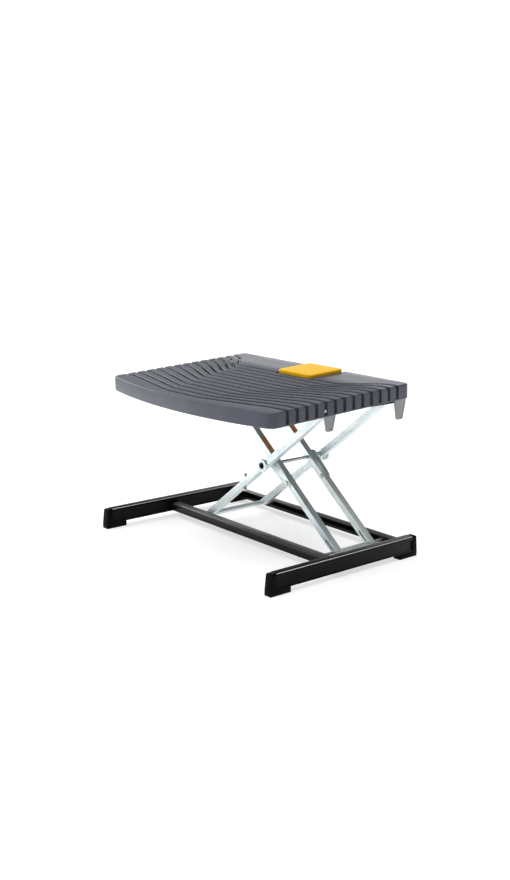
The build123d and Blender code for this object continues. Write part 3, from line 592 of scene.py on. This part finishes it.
for end in ("front", "rear"):
    for pair in ("inner", "outer"):
        node = pair + "_arm_" + end
        low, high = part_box(node)
        start, finish = arm_ends[pair]
        pitch = (finish - start).xz.length
        depth = high.z - low.z - abs(finish.z - start.z)
        bar = arm_bar(pitch, high.y - low.y, depth)
        if pair == "inner":
            cut_slot(bar, pitch / 2 - arm_slot_start)
        between_pins = arm_frame(start, finish, (low.y + high.y) / 2)
        bmesh.ops.transform(bar, matrix=between_pins, verts=bar.verts)
        shade(bar)
        slope = atan2(finish.z - start.z, finish.x - start.x)
        crossing = ((start + finish) / 2).to_tuple()
        stained = (*arm_stains[node], depth / 2) if node in arm_stains else None
        tube_zinc = zinc_finish("zinc_tube_" + pair + "_" + end, slope, crossing, stained)
        place_piece("arm_tube_" + pair + "_" + end, bar, tube_zinc, pair + "_frame", node)

# Pivot plates and their bolts
# A plated steel strip stiffens each inner arm. It is round about the centre axle and tapers
# to one hexagon bolt with a washer, which holds it to the arm, with a nut on the far side.
plate_strip_edge = 0.0006
strip_eye_radius = 0.0128
strip_end_radius = 0.0072
strip_past_bolt = 0.008
strip_edge_span = 0.001
bolt_head_radius = 0.0042
bolt_head_height = 0.003
bolt_washer_radius = 0.0052
bolt_washer_height = 0.0006
bolt_chamfer = 0.0006
bolt_turn = 1.2
bolt_pale = (0.50, 0.50, 0.49)
bolt_warm = (0.66, 0.65, 0.60)


def facing_y(seat, side):
    """The matrix that stands a turned piece on a seat that faces one side along Y."""
    return Matrix.Translation(seat) @ Matrix.Rotation(-side * pi / 2, 4, "X")


def add_part(whole, part):
    """Moves a finished part's mesh into that of a whole piece."""
    part_mesh = into_mesh("part", part)
    whole.from_mesh(part_mesh)
    bpy.data.meshes.remove(part_mesh)


def hex_head(work, seat, side):
    """A chamfered hexagon on a washer, standing on a seat that faces one side along Y."""
    place = facing_y(seat, side)
    washer = add_bar(work, bolt_washer_radius, bolt_washer_height,
                     place @ Matrix.Translation((0, 0, bolt_washer_height / 2)))
    height = bolt_head_height - bolt_washer_height
    head = add_bar(work, bolt_head_radius, height,
                   place @ Matrix.Translation((0, 0, bolt_washer_height + height / 2)), 6)
    edges = dict.fromkeys(e for v in head + washer for e in v.link_edges)
    bevel_edges(work, [e for e in edges if e.calc_face_angle(0.0) > bolt_turn], bolt_chamfer, 2)


bolt_steel = worn_finish("bolt_zinc", "bolt_steel", patches=(420.0, 4.0), colours=(bolt_pale, bolt_warm),
                         roughness=(0.26, 0.2), grain=(420.0, 4.0, 0.00004, 0.6), Metallic=1.0)
low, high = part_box("plate_bolts")
bolt_middle = (low + high) / 2
strip_low, strip_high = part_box("pivot_plates")
front_arm, rear_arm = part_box("inner_arm_front"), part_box("inner_arm_rear")
inner_start, inner_end = arm_ends["inner"]
bolt_reach = (bolt_middle - (inner_start + inner_end) / 2).xz.length
strips = bmesh.new()
for low_y, high_y in ((strip_low.y, front_arm[0].y), (rear_arm[1].y, strip_high.y)):
    strip = bmesh.new()
    bmesh.ops.create_cube(strip, size=1.0)
    for vert in strip.verts:
        at_bolt = vert.co.x > 0
        vert.co.x = bolt_reach + strip_past_bolt if at_bolt else -strip_eye_radius
        vert.co.z *= 2 * (strip_end_radius if at_bolt else strip_eye_radius)
        vert.co.y *= high_y - low_y
    cross = [e for e in strip.edges if abs(e.verts[0].co.y - e.verts[1].co.y) > strip_edge_span]
    eye = [e for e in cross if e.verts[0].co.x < 0]
    bevel_edges(strip, eye, strip_eye_radius * 0.95, arm_round_steps)
    tip = [e for e in cross if e.is_valid and e.verts[0].co.x > 0]
    bevel_edges(strip, tip, strip_end_radius * 0.9, arm_round_steps)
    bevel_edges(strip, sharp_edges(strip, arm_turn), plate_strip_edge, 2)
    between_pins = arm_frame(inner_start, inner_end, (low_y + high_y) / 2)
    bmesh.ops.transform(strip, matrix=between_pins, verts=strip.verts)
    add_part(strips, strip)
shade(strips)
place_piece("pivot_strips", strips, flat_zinc, "inner_frame", "pivot_plates")
bolts = bmesh.new()
for side, outer_y, inner_y in ((-1, strip_low.y, front_arm[1].y), (1, strip_high.y, rear_arm[0].y)):
    hex_head(bolts, (bolt_middle.x, outer_y, bolt_middle.z), side)
    hex_head(bolts, (bolt_middle.x, inner_y, bolt_middle.z), -side)
shade(bolts)
place_piece("hexagon_bolts", bolts, bolt_steel, "inner_frame", "plate_bolts")

# Centre axle, spacers and outer cross tube
# A turned axle joins the two pairs of arms. Spacers keep the arms apart, and a drawn tube
# joins the outer arms' lower ends.
place_softened("centre_axle_turned", "scissor_axle", bright_steel, "inner_frame")
place_softened("spacer_rings", "axle_spacers", flat_zinc, "inner_frame")
place_softened("cross_tube_drawn", "outer_cross_tube", flat_zinc, "outer_frame")

# Hubs and hub caps
# A plated boss on each outer arm surrounds the centre axle, with a ring turned in its face. A
# black plastic cap closes it.
hub_steps = 64
hub_edge = 0.0009
hub_ring = 0.0088
hub_groove = 0.0005
cap_dome = 0.0007


def turned_piece(profile, matrix, steps=hub_steps):
    """A closed turned piece: a profile of (radius, height) points spun about Z, then placed."""
    work = bmesh.new()
    line = [work.verts.new((radius, 0.0, height)) for radius, height in profile]
    edges = [work.edges.new(pair) for pair in zip(line, line[1:])]
    bmesh.ops.spin(work, geom=line + edges, cent=(0, 0, 0), axis=(0, 0, 1), angle=2 * pi,
                   steps=steps, use_merge=True)
    bmesh.ops.remove_doubles(work, verts=work.verts, dist=merge_distance)
    bmesh.ops.recalc_face_normals(work, faces=work.faces)
    bmesh.ops.transform(work, matrix=matrix, verts=work.verts)
    return work


def arc_points(centre, radius, start, end, steps=5):
    """Points on a round of a profile, from one angle to another in degrees."""
    angles = [radians(start + (end - start) * step / steps) for step in range(steps + 1)]
    return [(centre[0] + radius * cos(a), centre[1] + radius * sin(a)) for a in angles]


for end, side in (("front", -1), ("rear", 1)):
    low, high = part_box("hub_" + end)
    middle = (low + high) / 2
    radius, height = (high.x - low.x) / 2, high.y - low.y
    place = facing_y((middle.x, high.y if side < 0 else low.y, middle.z), side)
    profile = [(0.0, 0.0), (radius, 0.0),
               *arc_points((radius - hub_edge, height - hub_edge), hub_edge, 0, 90),
               (hub_ring + hub_groove, height), (hub_ring, height - hub_groove),
               (hub_ring - hub_groove, height), (0.0, height)]
    hub = turned_piece(profile, place)
    shade(hub)
    place_piece("hub_boss_" + end, hub, flat_zinc, "outer_frame", "hub_" + end)
low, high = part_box("hub_caps")
middle = (low + high) / 2
cap_radius = (high.z - low.z) / 2
caps = bmesh.new()
for side, seat_y, tip_y in ((-1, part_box("hub_front")[0].y, low.y), (1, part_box("hub_rear")[1].y, high.y)):
    place = facing_y((middle.x, seat_y, middle.z), side)
    height = abs(tip_y - seat_y)
    profile = [(0.0, 0.0), (cap_radius, 0.0),
               *arc_points((cap_radius - cap_dome, height - 2 * cap_dome), cap_dome, 0, 90),
               (cap_radius * 0.5, height - cap_dome * 0.3), (0.0, height)]
    add_part(caps, turned_piece(profile, place))
shade(caps)
place_piece("hub_cap_plugs", caps, black_plastic, "outer_frame", "hub_caps")

# Stop screw and nut
# A round-headed screw stands in the front outer arm, where it stops the fold, with a nut at
# its lower end. Its thread shows below the arm.
screw_pitch = 0.0008
screw_radius = 0.0022
screw_root = 0.0018
screw_head_radius = 0.004
screw_head_height = 0.0025
screw_head_rim = 0.00075
screw_steps = 32
nut_edge = 0.0004

low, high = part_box("stop_screw")
middle = (low + high) / 2
thread = []
level = low.z
while level < high.z - screw_head_height - screw_pitch:
    thread += [(screw_root, level - low.z), (screw_radius, level - low.z + screw_pitch / 2)]
    level += screw_pitch
length = high.z - low.z
shoulder = length - screw_head_height
head_round = screw_head_height - screw_head_rim
profile = [(0.0, 0.0), *thread, (screw_root, shoulder), (screw_head_radius, shoulder),
           (screw_head_radius, shoulder + screw_head_rim),
           *arc_points((screw_head_radius - head_round, shoulder + screw_head_rim), head_round, 15, 90),
           (0.0, length)]
screw = turned_piece(profile, Matrix.Translation((middle.x, middle.y, low.z)), screw_steps)
shade(screw, limit=0.9)
place_piece("stop_screw_threaded", screw, bolt_steel, "outer_frame", "stop_screw")
place_softened("stop_nut_hexagon", "stop_nut", bolt_steel, "outer_frame", nut_edge)

# Slide pins and slide blocks
# Steel pins on the outer arms carry white plastic blocks, which slide in the lower rails. A
# turned axle carries the upper pair of blocks, which slide in the upper channels.
slide_tint = (0.66, 0.65, 0.60)
slide_grease = (0.408, 0.384, 0.327)

white_plastic = worn_finish("slide_plastic", "slide_plastic", patches=(180.0, 5.0, 0.52, 0.72),
                            colours=(slide_tint, slide_grease), roughness=(0.42, -0.2),
                            grain=(1500.0, 2.0, 0.00003, 0.5), Subsurface_Weight=0.05)
place_softened("slide_pins_turned", "slide_pins", bright_steel, "outer_frame")
place_softened("lower_blocks_moulded", "lower_slide_blocks", white_plastic, "lower_slides")
place_softened("upper_blocks_moulded", "upper_slide_blocks", white_plastic, "upper_slides")
place_softened("carriage_axle_turned", "carriage_axle", bright_steel, "upper_slides")

# Upper frame
# Two folded channels, a flat crossbar at the right and a bridged strip at the left, coated
# black. Steel blocks and headed pins hold the outer arms' upper ends, and a lug on the
# front channel carries each tilt screw.
sheet_edge = 0.0004

for node in ("upper_rail_front", "upper_rail_rear", "crossbar", "bridge_bar",
             "tilt_bracket_left", "tilt_bracket_right"):
    place_softened(node + "_coated", node, black_coat, "top_frame", sheet_edge)
place_softened("anchor_blocks", "upper_anchors", flat_zinc, "top_frame")
place_softened("headed_pins", "upper_pins", bright_steel, "top_frame")

# End tabs
# Grey moulded tabs close the channels' ends and hang below them. The outer face has a
# raised rim, and a low rib runs down the middle.
tab_edge = 0.0011
tab_rim = 0.0022
tab_sink = 0.0007
tab_tint = (0.33, 0.34, 0.34)
tab_shadow = (0.29, 0.31, 0.31)

tab_plastic = worn_finish("grey_tab_plastic", "tab_plastic", patches=(45.0, 5.0),
                          colours=(tab_tint, tab_shadow), roughness=(0.46, 0.14),
                          grain=(1400.0, 2.0, 0.00006, 0.7))
for hand, side in (("left", -1), ("right", 1)):
    for end in ("front", "rear"):
        node = "end_tab_" + end + "_" + hand
        tab = softened(node, tab_edge, 3)
        outer = max((f for f in tab.faces if f.normal.x * side > 0.99), key=lambda f: f.calc_area())
        bmesh.ops.inset_region(tab, faces=[outer], thickness=tab_rim, depth=0.0)
        bmesh.ops.inset_region(tab, faces=[outer], thickness=tab_sink, depth=-tab_sink)
        shade(tab, limit=0.7)
        place_piece(node + "_moulded", tab, tab_plastic, "top_frame", node)

# Gas spring
# A black cylinder with two rolled grooves and a gland, a bright rod with an eye on the
# carriage axle, and a square valve block pinned to the frame's clevis.
groove_width = 0.0016
groove_sink = 0.0007
cylinder_steps = 72
cylinder_black = (0.010, 0.010, 0.011)
cylinder_pale = (0.016, 0.016, 0.017)
cylinder_wall = 0.0015
groove_front, groove_rear = 0.006, 0.010
thin_pin_edge = 0.0003

spring_black = worn_finish("cylinder_paint", "cylinder_coat", patches=(70.0, 4.0),
                           colours=(cylinder_black, cylinder_pale), roughness=(0.16, 0.12),
                           grain=(500.0, 2.0, 0.00005, 0.3), Coat_Weight=0.4)
low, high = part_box("gas_cylinder")
radius = (high.z - low.z) / 2
length = high.x - low.x
profile = [(radius - cylinder_wall, 0.0), (radius, 0.0)]
for level in (groove_front, length - groove_rear):
    profile += [(radius, level), (radius - groove_sink, level + groove_width / 2),
                (radius, level + groove_width)]
profile += [(radius, length), (radius - cylinder_wall, length), (radius - cylinder_wall, 0.0)]
place = Matrix.Translation((low.x, (low.y + high.y) / 2, (low.z + high.z) / 2))
cylinder = turned_piece(profile, place @ Matrix.Rotation(pi / 2, 4, "Y"), cylinder_steps)
shade(cylinder)
place_piece("spring_cylinder", cylinder, spring_black, "top_frame", "gas_cylinder")
place_softened("spring_gland", "gas_gland", spring_black, "top_frame")
place_softened("spring_valve_block", "valve_block", spring_black, "top_frame")
place_softened("spring_clevis_cheeks", "spring_clevis", flat_zinc, "top_frame")
place_softened("clevis_pin_turned", "clevis_pin", bright_steel, "top_frame")
place_softened("rod_eye_forged", "rod_eye", flat_zinc, "upper_slides")
place_softened("spring_rod", "gas_rod", bright_steel, "upper_slides", thin_pin_edge)
place_softened("spring_piston", "gas_piston", bright_steel, "upper_slides")

# Release lever
# A clamp on the cylinder carries a rocking lever. The pedal's lug presses its long end, and
# its short end lifts the valve's button.
place_softened("lever_clamp_band", "lever_clamp", flat_zinc, "top_frame")
place_softened("lever_pin_turned", "lever_pin", bright_steel, "top_frame")
place_softened("release_lever_cast", "release_lever", flat_zinc, "release_lever")
place_softened("valve_button_turned", "valve_button", bright_steel, "valve_button")

# Foot plate
# One moulding in slate grey plastic: a bowed front, thirteen grooves that run straight over
# the middle, slant back and leave at the sides as upright slots, a smooth rear with a well
# for the pedal, and hollow underneath.
plate_half = 0.2375
plate_rear = 0.345
plate_bow = 0.024
plate_set_back = 0.006
plate_skirt = 0.0275
plate_deck = 0.012
plate_wall = 0.004
front_corner = 0.018
rear_corner = 0.012
top_round = 0.0022
groove_count = 13
rib_groove = 0.006
rib_depth = 0.007
rib_round = 0.0017
slot_depth = 0.0025
slot_foot = 0.003
side_start = 0.039
side_pitch = 0.0226
centre_pitch = 0.0206
bend_first = 0.045
bend_last = 0.143
bend_end = 0.209
bend_softness = 0.010
tilt_along = 0.12942
tilt_depth = 0.017
plate_tilt = radians(2.97)
well_left, well_right = -0.0282, 0.0692
well_floor = 0.008
well_edge = 0.0009
well_slant = 0.00015
groove_slant = 0.0004
groove_round = 0.0006
skirt_edge = 0.0008
wall_edge = 0.0006
ring_gap = 0.0002
shallow, steep = 0.134, 0.5
middle_steps = 42
corner_steps = 7
front_shares = (0.0, 0.25, 0.6)
rear_shares = (0.06, 0.2, 0.4, 0.6, 0.8, 1.0)
slate_dark = (0.048, 0.055, 0.078)
slate_light = (0.062, 0.070, 0.093)
slate_scuff = (0.110, 0.115, 0.128)
slate_groove_shade = (0.010, 0.012, 0.018)
mottle_scale = 22.0
scuff_scale = 90.0
scuff_shape = (1.0, 0.22, 1.0)
slate_grain_scale, slate_grain_depth = 1500.0, 0.00010
smooth_from, smooth_to = 0.085, 0.120

plate_pin = pin_places["plate_tilt"]
plate_origin = Vector((0.0, plate_pin.y - tilt_along * cos(plate_tilt) - tilt_depth * sin(plate_tilt),
                       plate_pin.z - tilt_along * sin(plate_tilt) + tilt_depth * cos(plate_tilt)))
on_plate = Matrix.Translation(plate_origin) @ Matrix.Rotation(plate_tilt, 4, "X")
bow_radius = (plate_half ** 2 + (plate_bow + plate_set_back) ** 2) / (2 * (plate_bow + plate_set_back))
bow_centre = bow_radius - plate_bow


def slate_plastic():
    """Slate grey moulded plastic: spark grain, slow mottling, faint scuffs where feet rub, painted shade
    deep in the grooves and side slots, and smoother behind the ribs."""
    material, shader, place = new_finish("slate_plate_plastic")
    mottle = place.noise(mottle_scale, 6.0)
    scuff = place.noise(scuff_scale, 8.0, scuff_shape).between(0.60, 0.80)
    colour = mottle.between(0.3, 0.7).tint(slate_dark, slate_light)
    colour = (scuff * 0.35).tint(colour, slate_scuff)
    # Painted shade: the grooves and side slots turn nearly black just below their rims
    colour = (place.mark("groove").between(0.0, 0.05) * 0.92).tint(colour, slate_groove_shade)
    smooth = place.along(1).between(smooth_from, smooth_to)
    grain = place.noise(slate_grain_scale, 3.0) * (1.0 - smooth * 0.6)
    feed(shader, Base_Color=colour, Roughness=0.38 + mottle * 0.12 - scuff * 0.08 - smooth * 0.20,
         Specular_IOR_Level=0.42, Normal=bumps(grain, slate_grain_depth, 0.6))
    return material, "plate_plastic"


def groove_line(number, x):
    """How far back a groove's middle lies at one x, with soft bends."""
    share = number / (groove_count - 1)
    bend = bend_first + (bend_last - bend_first) * share
    start, end = number * centre_pitch, side_start + number * side_pitch
    rise = (hypot(abs(x) - bend, bend_softness) - hypot(abs(x) - bend_end, bend_softness)
            + bend_end - bend) / (2 * (bend_end - bend))
    return start + (end - start) * rise


def outline_point(end, share, inset):
    """A point of the front or rear outline, moved in by the inset: share -1 to 1 runs from
    corner to corner, and on to -2 and 2 round them."""
    sign = -1.0 if share < 0 else 1.0
    if end == "rear":
        corner, corner_x, turn, away = rear_corner, plate_half - rear_corner, 0.0, 1
        corner_s = plate_rear - rear_corner
    else:
        corner, corner_x, away = front_corner, plate_half - front_corner, -1
        turn = asin(corner_x / (bow_radius - front_corner))
        corner_s = bow_centre - sqrt((bow_radius - front_corner) ** 2 - corner_x ** 2)
    if abs(share) > 1:
        angle = turn + (pi / 2 - turn) * (abs(share) - 1)
        reach = corner - inset
        return sign * (corner_x + reach * sin(angle)), corner_s + away * reach * cos(angle)
    if end == "rear":
        return corner_x * share, plate_rear - inset
    angle, reach = turn * abs(share), bow_radius - inset
    return sign * reach * sin(angle), bow_centre - reach * cos(angle)


def column_shares():
    """Shares across the plate: even over the middle, fine round the corners and at the well."""
    shares = [step / middle_steps for step in range(-middle_steps, middle_steps + 1)]
    for step in range(1, corner_steps + 1):
        shares += [-1 - step / corner_steps, 1 + step / corner_steps]
    reach = plate_half - rear_corner
    walls = []
    for x, sign in ((well_left, -1), (well_right, 1)):
        walls += [(x + sign * offset) / reach for offset in (well_edge, well_edge * 0.35, 0.0, -well_slant)]
    # Even columns that come too near a wall of the well give way to its own
    span = 1.4 * well_edge / reach
    shares = [share for share in shares if all(abs(share - wall) > span for wall in walls)]
    return sorted(shares + walls)


def groove_rows():
    """Across one groove: offsets from its middle line and how deep the surface lies there."""
    half = rib_groove / 2
    rising = [(half + rib_round, 0.0), (half + rib_round * steep, rib_round * shallow),
              (half + rib_round * shallow, rib_round * steep), (half, rib_round),
              (half - groove_slant, rib_depth - groove_round),
              (half - groove_slant - groove_round, rib_depth)]
    return [(-offset, depth) for offset, depth in rising] + rising[::-1]


def groove_offset(number, x, offset):
    """The groove's middle line moved square to itself, read at the same x."""
    step = 0.0005
    slope = (groove_line(number, x + step) - groove_line(number, x - step)) / (2 * step)
    return groove_line(number, x) + offset * sqrt(1 + slope * slope)


def plate_rows():
    """Every row from front to rear: its groove, offset and depth, or a share of a plain band."""
    rows = [("front", share, 0.0) for share in front_shares]
    for number in range(groove_count):
        rows += [(number, offset, depth) for offset, depth in groove_rows()]
        if number < groove_count - 1:
            rows.append((number, "middle", 0.0))
    return rows + [("rear", share, 0.0) for share in rear_shares]


def row_place(row, share):
    """Where a row crosses a column: x, distance along the plate, and depth."""
    kind, value, depth = row
    front_x, front_s = outline_point("front", share, top_round)
    rear_x, rear_s = outline_point("rear", share, top_round)
    outward = rib_groove / 2 + rib_round
    if kind == "front":
        first = groove_offset(0, front_x, -outward)
        return front_x, front_s + (first - front_s) * value, depth
    if kind == "rear":
        last = groove_offset(groove_count - 1, rear_x, outward)
        x, s = rear_x, last + (rear_s - last) * value
    else:
        x = front_x + (rear_x - front_x) * kind / (groove_count - 1)
        if value == "middle":
            s = (groove_offset(kind, x, outward) + groove_offset(kind + 1, x, -outward)) / 2
        else:
            s = groove_offset(kind, x, value)
    # Past the middle of the last groove, between its two walls, lies the floor of the well
    beyond = kind == "rear" or (kind == groove_count - 1 and value != "middle" and value > 0)
    if beyond and well_left - 0.5 * well_edge < x < well_right + 0.5 * well_edge:
        side_room = min(x - well_left, well_right - x)
        depth = max(depth, well_floor if side_room > well_slant / 3 else well_edge)
    return x, s, depth


def make_plate():
    """The plate in its own frame: the top as one grid, then ring after ring down the sides,
    under the wall and up to the deck's underside."""
    shares, rows = column_shares(), plate_rows()
    work = bmesh.new()
    # Each point's depth in a groove or slot, which the finish turns into painted shade
    shadow = work.verts.layers.float.new("groove")
    bmesh.ops.create_grid(work, x_segments=len(shares) - 1, y_segments=len(rows) - 1, size=1.0)
    work.verts.index_update()
    grid = sorted(work.verts, key=lambda v: (round(v.co.y, 5), round(v.co.x, 5)))
    # The rim holds, for each vertex on the grid's border, what it needs to follow the outline
    rim = {}
    for index, vert in enumerate(grid):
        row_number, column = divmod(index, len(shares))
        row, share = rows[row_number], shares[column]
        x, s, depth = row_place(row, share)
        if column in (0, len(shares) - 1):
            cut = depth * slot_depth / rib_depth
            x = (plate_half - max(top_round, cut)) * (1 if x > 0 else -1)
            rim[vert] = ("side", s, depth)
        if row_number == 0:
            rim[vert] = ("front", share, 0.0)
        if row_number == len(rows) - 1:
            rim[vert] = ("rear", share, depth)
        vert.co = (x, s, -depth)
        vert[shadow] = depth / rib_depth if row[0] not in ("front", "rear") else 0.0
    rear_side = plate_rear - rear_corner
    slot_end = plate_skirt - slot_foot
    # Each ring is an inset from the outline and a drop below the top
    rings = [(top_round * steep, top_round * shallow), (top_round * shallow, top_round * steep),
             (0.0, top_round), (0.0, slot_end - groove_slant), (0.0, slot_end),
             (0.0, plate_skirt - skirt_edge), (skirt_edge, plate_skirt),
             (plate_wall - wall_edge, plate_skirt), (plate_wall, plate_skirt - wall_edge),
             (plate_wall, plate_deck)]
    loop = [e for e in work.edges if e.is_boundary]
    for number, (inset, drop) in enumerate(rings):
        grown = bmesh.ops.extrude_edge_only(work, edges=loop)["geom"]
        # A new vertex follows the outline as the old one that it grew from does
        old_of = {}
        for first, second in (edge.verts for edge in work.edges if not edge.is_boundary):
            for old, new in ((first, second), (second, first)):
                if old in rim and new not in rim and new.is_boundary:
                    old_of[new] = old
        next_rim = {}
        for vert in (item for item in grown if isinstance(item, bmesh.types.BMVert)):
            kind, value, depth = next_rim[vert] = rim[old_of[vert]]
            level = max(drop, depth + ring_gap * (number + 1)) if number < 3 else drop
            sunk = depth / rib_depth if kind == "side" and number < 4 else 0.0
            if kind == "side":
                x = (plate_half - max(inset, sunk * slot_depth)) * (1 if vert.co.x > 0 else -1)
                vert.co = (x, min(value, rear_side), -level)
            else:
                vert.co = (*outline_point(kind, value, inset), -level)
            vert[shadow] = sunk
        rim = next_rim
        loop = [item for item in grown if isinstance(item, bmesh.types.BMEdge) and item.is_boundary]
    bmesh.ops.contextual_create(work, geom=loop)
    bmesh.ops.recalc_face_normals(work, faces=work.faces)
    return work


plate_plastic = slate_plastic()
plate = make_plate()
bmesh.ops.transform(plate, matrix=on_plate, verts=plate.verts)
shade(plate, limit=0.75)
place_piece("foot_plate_moulding", plate, plate_plastic, "plate", "footplate")

# Tilt screws
# A plated screw with a round head and a small recess runs through each side of the plate, in
# one of the upright slots, into the frame's lug. The plate tilts on the two of them.
tilt_head_radius = 0.0027
tilt_head_height = 0.0016
tilt_shank_radius = 0.002
tilt_recess = 0.0005
tilt_length = 0.028

screws = bmesh.new()
head_round = tilt_head_height * 0.6
for side in (-1, 1):
    tip_x = side * (plate_half - slot_depth + tilt_head_height)
    place = Matrix.Translation((tip_x, plate_pin.y, plate_pin.z)) @ Matrix.Rotation(side * pi / 2, 4, "Y")
    profile = [(0.0, -tilt_length), (tilt_shank_radius, -tilt_length),
               (tilt_shank_radius, -tilt_head_height), (tilt_head_radius, -tilt_head_height),
               (tilt_head_radius, -head_round),
               *arc_points((tilt_head_radius - head_round, -head_round), head_round, 15, 90),
               (tilt_recess * 2, 0.0), (tilt_recess * 1.4, -tilt_recess * 1.6), (0.0, -tilt_recess * 1.8)]
    add_part(screws, turned_piece(profile, place, screw_steps))
shade(screws, limit=0.8)
place_piece("tilt_screws", screws, bolt_steel, "top_frame", "tilt_pins")

# Pedal, hinge pin and leaf spring
# A yellow moulded pad with rounded corners and a slight crown stands in the well. It turns on
# a steel pin at the rear, and its lug reaches down through the deck.
pedal_left, pedal_right = -0.027, 0.068
pedal_front, pedal_back = 0.252, 0.340
pedal_low, pedal_high = -0.0015, 0.006
pedal_corner = 0.008
pedal_edge = 0.0024
pedal_crown = 0.0005
pedal_wall = 0.0025
pedal_cuts = 7
pedal_axis_s, pedal_axis_h = 0.336, -0.003
barrel_radius = 0.0026
leaf_edge = 0.0002
lug_edge = 0.0008
lug_middle_x, lug_middle_s = 0.04335, 0.2725
lug_width, lug_depth = 0.009, 0.007
yellow_tint = (0.82, 0.46, 0.008)
yellow_worn = (0.77, 0.415, 0.007)

pedal_yellow = worn_finish("pedal_yellow_plastic", "pedal_plastic", patches=(60.0, 6.0, 0.50, 0.78),
                           colours=(yellow_tint, yellow_worn), roughness=(0.36, 0.16),
                           grain=(1300.0, 2.0, 0.00006, 0.6), Specular_IOR_Level=0.1)
pad = bmesh.new()
bmesh.ops.create_cube(pad, size=1.0)
half_width, half_length = (pedal_right - pedal_left) / 2, (pedal_back - pedal_front) / 2
pad_middle = Vector((pedal_left + half_width, pedal_front + half_length, 0.0))
flat_top = pedal_high - pedal_crown
bmesh.ops.scale(pad, vec=(2 * half_width, 2 * half_length, pedal_high - pedal_low), verts=pad.verts)
lift = Vector((0.0, 0.0, (pedal_low + pedal_high) / 2 - pedal_crown))
bmesh.ops.translate(pad, verts=pad.verts, vec=pad_middle + lift)
uprights = [e for e in pad.edges if abs(e.verts[0].co.z - e.verts[1].co.z) > pedal_edge]
bevel_edges(pad, uprights, pedal_corner, 8)
hollow = min(pad.faces, key=lambda f: f.calc_center_median().z)
bmesh.ops.inset_region(pad, faces=[hollow], thickness=pedal_wall, depth=0.0)
roof = bmesh.ops.extrude_discrete_faces(pad, faces=[hollow])["faces"][0]
bmesh.ops.translate(pad, verts=roof.verts, vec=(0.0, 0.0, flat_top - pedal_wall - pedal_low))
crest = [e for e in pad.edges if all(v.co.z > flat_top - pedal_edge / 2 for v in e.verts)]
bevel_edges(pad, crest, pedal_edge, 5)
for cut in range(1, pedal_cuts):
    share = 2 * cut / pedal_cuts - 1
    for axis, reach in ((Vector((1, 0, 0)), half_width), (Vector((0, 1, 0)), half_length)):
        bmesh.ops.bisect_plane(pad, geom=[*pad.verts, *pad.edges, *pad.faces], dist=merge_distance,
                               plane_co=pad_middle + axis * share * reach, plane_no=axis)
for vert in pad.verts:
    if vert.co.z > flat_top - pedal_wall - merge_distance:
        across = (vert.co.x - pad_middle.x) / half_width
        along = (vert.co.y - pad_middle.y) / half_length
        vert.co.z += pedal_crown * (1 - across ** 2) * (1 - along ** 2)
place = Matrix.Translation((pad_middle.x, pedal_axis_s, pedal_axis_h)) @ Matrix.Rotation(pi / 2, 4, "Y")
add_bar(pad, barrel_radius, 2 * (half_width - pedal_corner), place)
lug_foot = (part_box("pedal")[0].z - plate_origin.z - lug_middle_s * sin(plate_tilt)) / cos(plate_tilt)
lug = bmesh.ops.create_cube(pad, size=1.0)["verts"]
lug_top = pedal_high - pedal_wall
bmesh.ops.scale(pad, vec=(lug_width, lug_depth, lug_top - lug_foot), verts=lug)
bmesh.ops.translate(pad, vec=(lug_middle_x, lug_middle_s, (lug_top + lug_foot) / 2), verts=lug)
bevel_edges(pad, dict.fromkeys(e for v in lug for e in v.link_edges), lug_edge, 3)
bmesh.ops.transform(pad, matrix=on_plate, verts=pad.verts)
shade(pad, limit=0.5)
place_piece("pedal_pad", pad, pedal_yellow, "pedal", "pedal")
place_softened("pedal_pin_turned", "pedal_pin", bright_steel, "plate", thin_pin_edge)
leaf = place_softened("pedal_leaf_spring", "pedal_spring", bright_steel, "plate", leaf_edge)
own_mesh(leaf)
